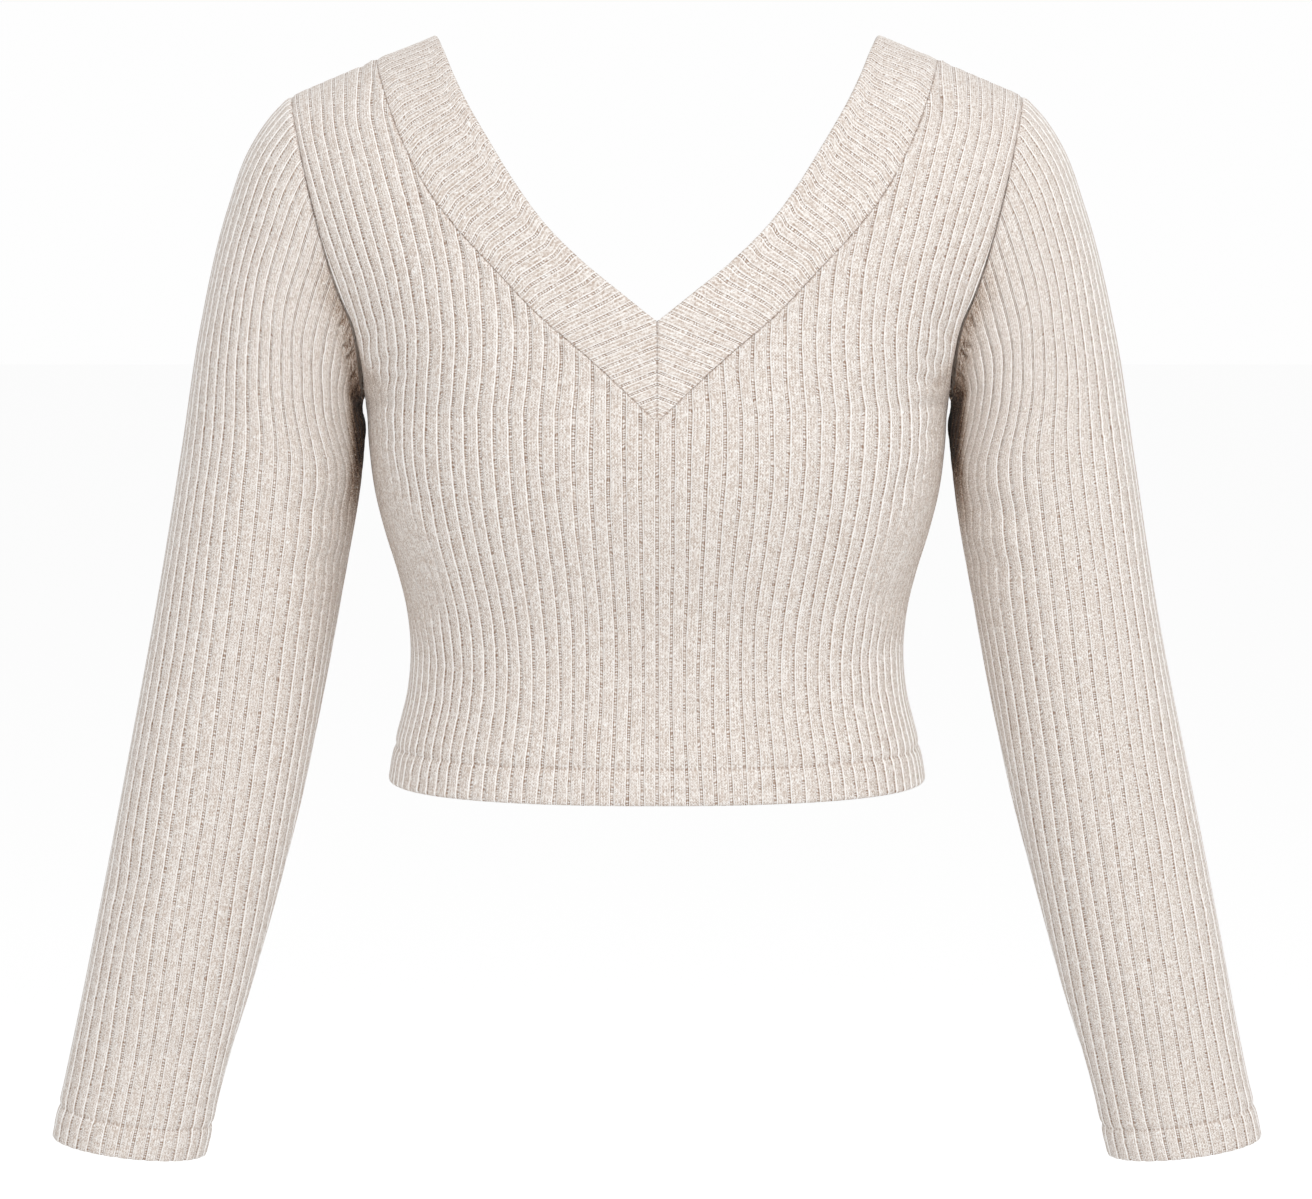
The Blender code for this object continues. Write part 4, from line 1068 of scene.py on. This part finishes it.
def make_sleeve(name, hand, seed):
    """A closed tube: an outer grid whose columns stop at the underarm seam, and a plain inner one."""
    along, inset = sleeve_rows()
    length, inset = along[:, None], inset[:, None]
    height = SLEEVE_LONG - length
    rows = np.arange(len(along))[:, None]
    sections, half_length = sleeve_sections(along)
    ahead, _ = sleeve_sections(np.minimum(along + 1.0, SLEEVE_LONG))
    behind, _ = sleeve_sections(np.maximum(along - 1.0, 0.0))
    across = np.gradient(sections, axis=1)
    across[:, [0, -1]] = (sections[:, 1] - sections[:, -2])[:, None]
    normal = unit(np.cross(across, ahead - behind))
    _, outward = sleeve_start(np.linspace(-1, 1, FINE))
    lean = np.maximum(np.sum(normal[0] * outward, axis=-1, keepdims=True), 0)
    normal[0] = unit(normal[0] - outward * lean)
    ribs_round = sleeve_ribs(along, sections, half_length)
    low, high = ribs_round[:, :1], ribs_round[:, -1:]

    def at(field, share):
        """The field at shares 0 to 1 of the way round."""
        i, part = cell(share * (FINE - 1), FINE)
        return field[rows, i] * (1 - part) + field[rows, i + 1] * part

    numbers = rib_columns(-SLEEVE_RIBS, SLEEVE_RIBS, SLEEVE_SHARES)
    rib, index, first, last = clamp_columns(numbers, low, high, 0.05)
    to_seam = np.minimum(high - rib, rib - low)
    free = fade(to_seam, 0, 2) * fade(length, 0, 25)
    wandered = rib + rib_wander(rib, length, seed) * free
    steps = np.linspace(0, 1, FINE)
    share = np.stack([np.interp(r, f, steps) for r, f in zip(wandered, ribs_round)])
    turn = (share - 0.5) * -360
    middle = at(sections, share)
    seam = np.minimum(length, to_seam * SLEEVE_PITCH)
    hole, _ = nearest(middle, sections[0, ::LINE_STEP])
    calm, light = sleeve_pressing(middle, hole)
    flat = np.maximum(PRESSED * fade(hole, 16, 7) * fade(np.abs(turn), 90, 140), calm)
    tucks = tucked(middle, sections)
    # painted shade of the gap, the seam's side and the tucks, as bounces of light
    shade = shade_bounces(light * (1 - TUCK_SHADE * np.clip(tucks, 0, 1) ** 1.5))
    round_fold = 1 - inset / (2 * FOLD_RADIUS)
    relief = rib_relief(rib) * fade(seam, 0, 2.2) * round_fold * (1 - flat)
    drape = sleeve_drape(middle, length, turn, seed) - TUCK_DEPTH * tucks
    offset = relief + seam_profile(seam) + hem_profile(height) * round_fold + drape - inset
    outer = middle + unit(at(normal, share)) * offset[..., None]
    outer_ids = rows * len(numbers) + np.where(index == last[:, None], first[:, None], index)

    inner_share = np.tile(np.arange(INNER_TURNS) / INNER_TURNS, (len(along), 1))
    inner_middle = at(sections, inner_share)
    inner_offset = sleeve_drape(inner_middle, length, (inner_share - 0.5) * -360, seed)
    inner_offset = inner_offset - thickness(height) - SEAM_TUCK * hump(length, SEAM_REACH)
    inner = inner_middle + unit(at(normal, inner_share)) * inner_offset[..., None]
    inner_ids = outer[..., 0].size + rows * INNER_TURNS + np.arange(INNER_TURNS + 1) % INNER_TURNS
    inner_rib = at(ribs_round[..., None], inner_share)[..., 0]

    end = -1 - FOLD_LAST
    faces = [
        grid_faces(outer_ids),
        grid_faces(inner_ids[:end + 1]),
        zip_strip(outer_ids[0, first[0]:last[0] + 1], inner_ids[0]),
        zip_strip(outer_ids[-1, first[-1]:last[-1] + 1], inner_ids[end]),
    ]
    knit = [triple(rib, height, seed), triple(inner_rib, height, seed)]
    edge = [triple(seam, flat, shade), np.broadcast_to([FAR, 0.0, 0.0], inner.shape)]
    return make_cloth(name + "_cloth", hand, [outer, inner], faces, knit, edge)


for name, hand, seed in (("sleeve_right", -1, 3.0), ("sleeve_left", 1, 4.0)):
    pieces[name] = make_sleeve(name, hand, seed)

# %% [markdown]
# ## Neckbands
# The band is knitted double and folded at the neck's free edge, so that edge is round. Its fine ribs run
# across it, from the seam to the fold, and at the centre both bands are mitred: there the ribs end on the
# vertical line instead. Each band is a grid of rib number by share of the way across, from the front mitre
# over the shoulder to the back mitre.

# %% Neckband surface
BAND_RIBS = 44         # from the mitre to the shoulder
TIP_RIB = 8            # so many of them end on the mitre, and not on the free edge
FLAT_RIBS = 3          # and so many rise out of it little by little
BAND_RADIUS = 1.45
BAND_SHARES = np.array([0.0, 0.08, 0.16, 0.3, 0.5, 0.7, 0.84, 0.92])
BAND_ACROSS = np.concatenate([[0.0, 0.018, 0.04, 0.07, 0.11], np.linspace(0.15, 0.93, 20), [0.955]])
BAND_PROFILE = {"groove": 0.1, "crest": 0.2, "floor": -0.22, "crown": 0.06}
BAND_EDGE = table(
    "rib share",
    (8.0, 0.0),
    (14.0, 0.19),
    (21.8, 0.427),
    (31.0, 0.66),
    (40.0, 0.875),
    (44.0, 1.0),
)
BAND_CLIMB = 3.0       # a rib climbs this far along the band at the seam, and again at the free edge
BAND_WAVE = 0.28
BAND_SWELL = 0.25
MITRE_DIP = 0.3
MITRE_REACH = 0.7
MITRE_GAP = 0.05       # the two bands stand this far from the centre


def band_line(side, rib, across):
    """Front view of the band's ribs: even steps on the seam, the table's places on the free edge."""
    lines = [neck_curve(NECK_SEAM[side], NECK_GAP / 2), neck_curve(NECK_EDGE[side])]
    (seam_x, seam_z), (edge_x, edge_z) = lines
    seam_run, edge_run = [lengths(triple(x, SIGN[side] * depth(x, z, side), z)) for x, z in lines]
    climb = BAND_CLIMB * fade(rib, 7, 21) * fade(BAND_RIBS - rib, 0, 5)
    shift = climb * (fade(across, 0, 0.25) - 1 + fade(across, 0.76, 0.96) * fade(rib, TIP_RIB, TIP_RIB + 3))
    on_seam = seam_run[-1] * rib / BAND_RIBS + shift
    on_edge = edge_run[-1] * smooth(rib, BAND_EDGE["rib"], BAND_EDGE["share"]) + shift
    is_tip = rib < TIP_RIB
    end_x = np.where(is_tip, 0, np.interp(on_edge, edge_run, edge_x))
    tip_z = seam_z[0] + (edge_z[0] - seam_z[0]) * rib / TIP_RIB
    end_z = np.where(is_tip, tip_z, np.interp(on_edge, edge_run, edge_z))
    x = np.interp(on_seam, seam_run, seam_x) * (1 - across) + end_x * across
    z = np.interp(on_seam, seam_run, seam_z) * (1 - across) + end_z * across
    return x, z


def band_half(side, rib, is_outer, seed):
    """Points, knit numbers and edge numbers of the front or back half of a band's face."""
    torso = torsos[side]
    from_tip = np.minimum(rib, 2 * BAND_RIBS - rib)
    (sx, sz), (ex, ez) = [band_line(side, from_tip, share) for share in (0.0, 1.0)]
    width = np.hypot(np.hypot(ex - sx, ez - sz), depth(sx, sz, side) - depth(ex, ez, side))
    fold, inset = [part[::-1, None] for part in fold_rows(BAND_RADIUS)]
    fold = 1 - fold * fade(from_tip, TIP_RIB, TIP_RIB + 0.8) / np.maximum(width, 1)
    if is_outer:
        flat, last = BAND_ACROSS[:, None], fold
        inset = np.concatenate([np.zeros(flat.shape), inset])
    else:
        flat, last = BAND_ACROSS[::3, None], fold[-1:]
        inset = np.full((len(flat) + 1, 1), 2 * BAND_RADIUS)
    across = np.concatenate([np.broadcast_to(flat, (len(flat), len(rib))), last])
    x, z = band_line(side, from_tip, across)
    at_rib, row = torso.rib_at(x.ravel(), np.minimum(z, shoulder_z(x)).ravel())
    row = np.minimum(row, 1)
    place = torso.place(at_rib, row).reshape(x.shape + (3,))
    normal = torso.normal(at_rib, row).reshape(x.shape + (3,))
    reach = across * width
    mitre = np.abs(place[..., 0]) + FAR * (row.reshape(x.shape) > 0.75)
    seam = np.minimum(reach, mitre)
    wave = BAND_WAVE * np.sin(reach / 9.0 + rib * 0.5 + seed) * np.sin(rib * 0.23 + seed * 2)
    offset = wave * fade(seam, 0, 6) - inset
    if is_outer:
        relief = rib_relief(rib, **BAND_PROFILE) * fade(seam, 0, 1.8) * fade(from_tip, 0, FLAT_RIBS)
        dip = NECK_DIP * hump(reach, SEAM_REACH) + MITRE_DIP * hump(mitre, MITRE_REACH)
        swell = BAND_SWELL * hump(reach - 5, 3.0)
        offset = offset + (relief - dip + swell) * (1 - inset / (2 * BAND_RADIUS))
    place[..., 0] += MITRE_GAP * fade(place[..., 0], 3, 0)
    return place + normal * offset[..., None], triple(rib, reach, seed), triple(seam, 0, 0)


def make_band(name, hand, seed):
    """A closed band from the front mitre to the back one."""
    skins, ids, start = [], [], 0
    for is_outer, numbers in ((True, rib_columns(0, 2 * BAND_RIBS, BAND_SHARES)),
                              (False, np.arange(0, 2 * BAND_RIBS + 0.5))):
        front = band_half("front", numbers[numbers <= BAND_RIBS], is_outer, seed)
        back = band_half("back", numbers[numbers > BAND_RIBS], is_outer, seed)
        skins.append([np.concatenate(pair, axis=1) for pair in zip(front, back)])
        shape = skins[-1][0].shape[:2]
        ids.append(start + np.arange(shape[0] * shape[1]).reshape(shape))
        start = ids[0].size
    out, inner = ids
    faces = [
        grid_faces(out), grid_faces(inner),
        zip_strip(out[0], inner[0]), zip_strip(out[-1], inner[-1]),
        zip_strip(out[:, 0], inner[:, 0]), zip_strip(out[:, -1], inner[:, -1]),
    ]
    points, knit, edge = zip(*skins)
    return make_cloth(name + "_cloth", hand, points, faces, knit, edge)


for name, hand, seed in (("neckband_right", -1, 5.0), ("neckband_left", 1, 6.0)):
    pieces[name] = make_band(name, hand, seed)

# %% [markdown]
# ## Yarn and stitches as node groups
# The yarn is heather: undyed wool with pinkish and greyer fibres carded in, so its colour changes in short
# streaks along the ribs and in soft blotches, with a few white flecks. The stitches show as rows of beads
# in the grooves, as light edges on the ribs and as a fine V texture on the flat, all painted into the colour
# as highlight and shade. Both are groups, because the body's rib and the band's finer rib use them with
# other numbers. Their coordinates are the rib number and the length along the rib that every point of the
# cloth carries, so the pattern follows the knit over every bend.

# %% Node helpers
class Nodes:
    """Short ways to add nodes to one tree. A socket given as an input is linked, and a number is set."""

    def __init__(self, tree):
        self.tree = tree

    def fill(self, socket, value):
        """Link or set one input; None leaves it as it is."""
        if isinstance(value, bpy.types.NodeSocket):
            self.tree.links.new(value, socket)
        elif value is not None:
            socket.default_value = value

    def add(self, kind, *inputs, out=0, **settings):
        """An output of a new node whose inputs are filled in order."""
        node = self.tree.nodes.new("ShaderNode" + kind)
        for name, value in settings.items():
            setattr(node, name, value)
        for socket, value in zip(node.inputs, inputs):
            self.fill(socket, value)
        return node.outputs[out]

    def group(self, group, **values):
        """The outputs of a group whose inputs are filled by name."""
        node = self.tree.nodes.new("ShaderNodeGroup")
        node.node_tree = group
        for label, value in values.items():
            self.fill(node.inputs[label], value)
        return node.outputs

    def split(self, name):
        """The three numbers that each point of the cloth carries under a name."""
        place = self.add("Attribute", attribute_name=name, out=1)
        node = self.tree.nodes.new("ShaderNodeSeparateXYZ")
        self.fill(node.inputs[0], place)
        return node.outputs

    def maths(self, operation, *inputs):
        """One Math node."""
        return self.add("Math", *inputs, operation=operation)

    def times(self, first, second):
        """A product."""
        return self.maths("MULTIPLY", first, second)

    def wave(self, turns):
        """The cosine of whole turns."""
        return self.maths("COSINE", self.times(turns, TAU))

    def ramp(self, value, low, high, first=0.0, second=1.0):
        """A smooth step of the value between two limits."""
        return self.add("MapRange", value, low, high, first, second, interpolation_type="SMOOTHSTEP")

    def vector(self, x, y, z):
        """Three numbers as one vector."""
        return self.add("CombineXYZ", x, y, z)

    def noise(self, place, scale, detail=2.0):
        """A noise value about 0.5."""
        return self.add("TexNoise", place, None, scale, detail)

    def mix(self, share, first, second):
        """One colour over another. The colours are the mix node's inputs 6 and 7, and its output 2."""
        unused = (None,) * 5
        return self.add("Mix", share, *unused, first, second, out=2, data_type="RGBA")


def new_group(name, inputs, outputs, color=()):
    """An empty group, its inputs and its outputs. Its sockets are numbers, but for those named as colours."""
    group = bpy.data.node_groups.new(name, "ShaderNodeTree")
    for direction, labels in (("INPUT", inputs), ("OUTPUT", outputs)):
        for label in labels.split():
            kind = "NodeSocketColor" if label in color else "NodeSocketFloat"
            group.interface.new_socket(label, in_out=direction, socket_type=kind)
    return group, group.nodes.new("NodeGroupInput").outputs, group.nodes.new("NodeGroupOutput").inputs


print("node helpers ready")

# %% [markdown]
# ### Heather yarn
# Three noises at three scales are laid over each other: blotches about 4.5 mm across and 8 mm along,
# streaks half a millimetre wide and about four long, and a grain of about a millimetre. High thresholds on
# two more noises give a few white flecks and fewer dark ones.

# %% Heather group
FLECKS = (             # shift across, squeeze along, scale, two limits, share, colour
    (0.0, 0.6, 0.62, 0.74, 0.8, 0.8, (0.93, 0.92, 0.9, 1)),
    (311.0, 1.0, 0.55, 0.76, 0.82, 0.45, (0.42, 0.34, 0.28, 1)),
)
heather, given, wanted = new_group(
    "heather_yarn", "Across Along Piece Light Dark", "Color Fuzz", color=("Light", "Dark", "Color"),
)
yarn = Nodes(heather)
across, along = given["Across"], given["Along"]
apart = yarn.times(given["Piece"], 37.0)
blotch = yarn.noise(yarn.vector(across, yarn.times(along, 0.55), apart), 0.22, 3.0)
streak = yarn.noise(yarn.vector(yarn.times(across, 2.6), yarn.times(along, 0.3), apart), 0.75, 2.0)
grain = yarn.noise(yarn.vector(across, yarn.times(along, 0.8), apart), 1.15, 1.0)
PARTS = ((blotch, 0.25), (streak, 1.35), (grain, 1.5))
blend = 0.5 - 0.5 * sum(weight for _, weight in PARTS)
for part, weight in PARTS:
    blend = yarn.maths("MULTIPLY_ADD", part, weight, blend)
colour = yarn.mix(yarn.ramp(blend, 0.1, 0.9), given["Dark"], given["Light"])
for shift, squeeze, scale, low, high, share, tint in FLECKS:
    place = yarn.vector(yarn.maths("ADD", across, shift), yarn.times(along, squeeze), apart)
    fleck = yarn.ramp(yarn.noise(place, scale, 0.0), low, high)
    colour = yarn.mix(yarn.times(fleck, share), colour, tint)
yarn.fill(wanted["Color"], colour)
yarn.fill(wanted["Fuzz"], yarn.maths("ADD", streak, grain))
print("heather_yarn:", len(heather.nodes), "nodes")

# %% [markdown]
# ### Rib stitches
# The distance to the nearest groove comes from the rib number's fraction. A groove reads as a small ladder:
# a painted highlight on each side where the rib's edge turns over, a line of painted shade just inside each
# of those, and a column of beads between them, one bead a row, each with a painted highlight and painted
# shade in the gaps. The flat of the rib is made of wales, whose stitches lean into little Vs, painted as
# light and shade. Row by row the knitter's tension changes, so a slow noise bends the rows and turns the
# contrast up and down along each groove.

# %% Stitch group
# edge and bead outputs are masks of painted highlight, the dark output one of painted shade, vee paints light
# and shade
stitches, given, wanted = new_group(
    "rib_stitches", "Rib Along Groove Stitch Wales Lines", "Edge Dark Bead Vee Height",
)
loop = Nodes(stitches)
rib, along = given["Rib"], given["Along"]
drift = loop.noise(loop.vector(rib, loop.times(along, 0.14), 0.0), 1.1, 2.0)
quick = loop.noise(loop.vector(loop.times(rib, 1.7), loop.times(along, 0.3), 3.0), 1.0, 1.0)
fraction = loop.maths("FRACT", loop.maths("ADD", rib, 100.5))
away = loop.maths("ABSOLUTE", loop.maths("SUBTRACT", fraction, 0.5))
wide = loop.times(given["Groove"], loop.maths("MULTIPLY_ADD", drift, 0.4, 0.8))
near = loop.maths("DIVIDE", away, wide)
row = loop.maths("MULTIPLY_ADD", drift, 4.0, loop.maths("DIVIDE", along, given["Stitch"]))
beat = loop.wave(row)
loud = loop.ramp(quick, 0.32, 0.62, 0.35, 1.0)

# painted highlight where each rib's edge turns over
edge = loop.times(loop.ramp(near, 0.98, 1.22), loop.ramp(near, 1.75, 1.4))
edge = loop.times(edge, loop.ramp(quick, 0.25, 0.55, 0.55, 1.0))
line = loop.times(loop.ramp(near, 0.3, 0.55), loop.ramp(near, 1.05, 0.8))
middle = loop.ramp(near, 0.62, 0.3)
# painted shade: a line inside each edge, and the gaps between the beads
groove_shade = loop.times(line, loop.ramp(beat, 0.5, -0.6, 0.3, 1.0))
groove_shade = loop.maths("MULTIPLY_ADD", middle, loop.times(loop.ramp(beat, 0.1, -0.8), 0.55), groove_shade)
groove_shade = loop.times(groove_shade, loud)
# painted highlight on each bead
bead = loop.times(loop.times(middle, loop.ramp(beat, -0.2, 0.8)), loud)

# the stitch Vs: painted light and shade on the flat, and a little bump
wale = loop.maths("FRACT", loop.times(loop.maths("ADD", rib, 100.0), given["Wales"]))
lean = loop.maths("ABSOLUTE", loop.maths("SUBTRACT", wale, 0.5))
vee = loop.wave(loop.maths("MULTIPLY_ADD", lean, 1.3, row))
wale_line = loop.maths("SUBTRACT", loop.wave(loop.maths("ADD", wale, 0.5)), vee)
vee = loop.maths("ADD", vee, loop.times(wale_line, given["Lines"]))
vee = loop.times(vee, loop.times(loop.ramp(near, 1.3, 1.8), loud))
height = loop.maths("MULTIPLY_ADD", bead, 0.3, loop.times(groove_shade, -0.3))
height = loop.maths("MULTIPLY_ADD", vee, 0.09, height)
for label, value in (("Edge", edge), ("Dark", groove_shade), ("Bead", bead), ("Vee", vee), ("Height", height)):
    loop.fill(wanted[label], value)
print("rib_stitches:", len(stitches.nodes), "nodes")

# %% [markdown]
# ## The two finishes
# Both materials have the same build and other numbers. The yarn gives the colour; painted shade darkens
# the groove, painted highlights bead it and lighten the ribs' edges, the Vs are painted as light and
# shade, short broken dashes of painted shade lie in each seam, and short broken dashes lie along the hem's
# stitching. In the painted shade of the arm the Gamma node raises the colour to a power, one more for each
# extra bounce. Wool has no gloss, so the roughness is high, and a little sheen stands for the fine hairs
# that catch light where the cloth turns away.

# %% Materials
YARN_LIGHT = (0.87, 0.828, 0.787, 1)
YARN_DARK = (0.57, 0.478, 0.412, 1)
# colour of painted shade in the grooves, between the stitches, in the Vs and in the seams; the hem's dashes
# use it too
SHADOW = (0.3, 0.185, 0.125, 1)
# colour of painted highlights on the ribs' edges, the beads and the Vs
PAINTED_HIGHLIGHT = (0.975, 0.962, 0.94, 1)
NO_HEM = -100.0        # a height that the cloth never reaches


def knit_material(name, pitch, groove, stitch, wales, lines, vee, ladder, hem):
    """A Principled material fed by the yarn and stitch groups through the cloth's own coordinates. Pitch and
    stitch are in millimetres; lines, vee and ladder say how strongly wales, Vs and grooves show."""
    material = bpy.data.materials.new(name)
    material.use_nodes = True
    cloth = Nodes(material.node_tree)
    shader = material.node_tree.nodes["Principled BSDF"].inputs
    rib, along, piece = cloth.split("knit")
    seam, flat, shade = cloth.split("edge")
    yarn = cloth.group(heather, Across=cloth.times(rib, pitch), Along=along, Piece=piece,
                       Light=YARN_LIGHT, Dark=YARN_DARK)
    knit = cloth.group(stitches, Rib=rib, Along=along, Groove=groove, Stitch=stitch, Wales=wales, Lines=lines)
    clear = cloth.ramp(flat, 0.0, 0.85, ladder, 0.1 * ladder)
    # painted shade in short broken dashes along each seam
    seam_dash_shade = cloth.noise(cloth.vector(rib, cloth.times(along, 0.4), 7.0), 2.6, 0.0)
    seam_dash_shade = cloth.ramp(seam_dash_shade, 0.5, 0.6, 0.1, 1.0)
    from_hem = cloth.maths("ABSOLUTE", cloth.maths("SUBTRACT", along, hem))
    dash = cloth.ramp(cloth.wave(cloth.times(rib, 3.0)), -0.3, 0.5)
    # layers: Vs as painted light and shade, edges and beads as painted highlight, groove and seam dashes as
    # painted shade, hem dashes
    layers = (
        (cloth.ramp(knit["Vee"], 0.0, -0.9, 0.0, vee), SHADOW),
        (cloth.ramp(knit["Vee"], 0.0, 0.9, 0.0, vee), PAINTED_HIGHLIGHT),
        (cloth.times(knit["Edge"], clear), PAINTED_HIGHLIGHT),
        (cloth.times(knit["Dark"], clear), SHADOW),
        (cloth.times(knit["Bead"], clear), PAINTED_HIGHLIGHT),
        (cloth.times(cloth.ramp(seam, 0.8, 0.2, 0.0, 0.65), seam_dash_shade), SHADOW),
        (cloth.times(cloth.ramp(from_hem, 0.9, 0.3, 0.0, 0.45), dash), SHADOW),
    )
    colour = yarn["Color"]
    for share, over in layers:
        colour = cloth.mix(share, colour, over)
    # painted shade: one more power of the colour for each bounce, so it turns darker and browner
    colour = cloth.add("Gamma", colour, cloth.maths("ADD", shade, 1.0))
    cloth.fill(shader["Base Color"], colour)
    bump = material.node_tree.nodes.new("ShaderNodeBump")
    bump.inputs["Strength"].default_value = 0.7
    bump.inputs["Distance"].default_value = MM
    cloth.fill(bump.inputs["Height"], cloth.maths("MULTIPLY_ADD", yarn["Fuzz"], 0.05, knit["Height"]))
    cloth.fill(shader["Normal"], bump.outputs[0])
    cloth.fill(shader["Roughness"], cloth.ramp(yarn["Fuzz"], 0.6, 1.4, 0.95, 0.82))
    shader["Specular IOR Level"].default_value = 0.25
    shader["Sheen Weight"].default_value = 0.12
    shader["Sheen Roughness"].default_value = 0.55
    shader["Sheen Tint"].default_value = (1.0, 0.97, 0.94, 1)
    return material


knits = {
    "rib_knit": knit_material("rib_knit", pitch=7.8, groove=0.115, stitch=1.62, wales=5.0,
                              lines=0.35, vee=0.5, ladder=1.0, hem=HEM_FOLD),
    "neckband_knit": knit_material("neckband_knit", pitch=5.4, groove=0.13, stitch=1.55, wales=3.0,
                                   lines=0.62, vee=0.48, ladder=0.9, hem=NO_HEM),
}
FINISH = {name: "neckband_knit" if "neckband" in name else "rib_knit" for name in pieces}
for name, piece in pieces.items():
    piece.data.materials.append(knits[FINISH[name]])
print("finishes:", sorted(knits))

# %% [markdown]
# ## Attaching the cloth
# Each piece rides on the one body that the garment has and takes the place of its solid, which is hidden.

# %% Attach the pieces
for name, piece in pieces.items():
    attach(piece, "root")
    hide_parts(name)
print("declared", len(pieces), "pieces of cloth")

# %% [markdown]
# ## Floor and light
# A studio shot on white: a broad soft light from the front and above, a second one high on the right, weak
# ones from the sides and the top, and one from behind. The pale floor lies far below, where the wearer
# would stand. Floor and world are white to the camera and dimmer as lights, so the sides and the underarms
# stay darker than the front.

# %% Studio
FLOOR_Z = -1.35
LAMPS_AIM = (0, 0, -0.3)
LAMPS = (              # name, place, size and power
    ("front_light", (0.0, -2.6, 0.9), 2.4, 29.5),
    ("high_light", (1.4, -1.8, 1.6), 1.6, 14.5),
    ("right_light", (2.2, -1.8, 0.3), 1.8, 4.7),
    ("left_light", (-2.2, -1.6, 0.2), 1.8, 1.5),
    ("top_light", (0.0, -0.6, 2.4), 2.0, 5.0),
    ("back_light", (0.0, 2.6, 0.9), 2.4, 18.0),
)


def glow(tree, socket, as_light, to_camera):
    """A strength for the rays that light the scene, and another for those that come from the camera."""
    nodes = Nodes(tree)
    nodes.fill(socket, nodes.add("MapRange", nodes.add("LightPath"), 0.0, 1.0, as_light, to_camera))


bpy.ops.mesh.primitive_plane_add(size=60.0, location=(0, 0, FLOOR_Z))
floor = bpy.context.object
floor.name = "floor"
floor_paint = bpy.data.materials.new("pale_floor")
floor_paint.use_nodes = True
paint = floor_paint.node_tree.nodes["Principled BSDF"].inputs
paint["Base Color"].default_value = (0.86, 0.86, 0.86, 1)
paint["Roughness"].default_value = 0.9
paint["Specular IOR Level"].default_value = 0.0
paint["Emission Color"].default_value = (1, 1, 1, 1)
glow(floor_paint.node_tree, paint["Emission Strength"], 0.0, 0.44)
floor.data.materials.append(floor_paint)

world = bpy.data.worlds.new("studio")
world.use_nodes = True
sky = world.node_tree.nodes["Background"].inputs
sky["Color"].default_value = (1, 1, 1, 1)
glow(world.node_tree, sky["Strength"], 0.615, 0.99)
bpy.context.scene.world = world

for name, place, size, power in LAMPS:
    data = bpy.data.lights.new(name, "AREA")
    data.shape = "SQUARE"
    data.size = size
    data.energy = power
    aim(name, data, place, LAMPS_AIM)
bpy.context.scene.view_settings.view_transform = "Standard"
print("lamps:", len(LAMPS))
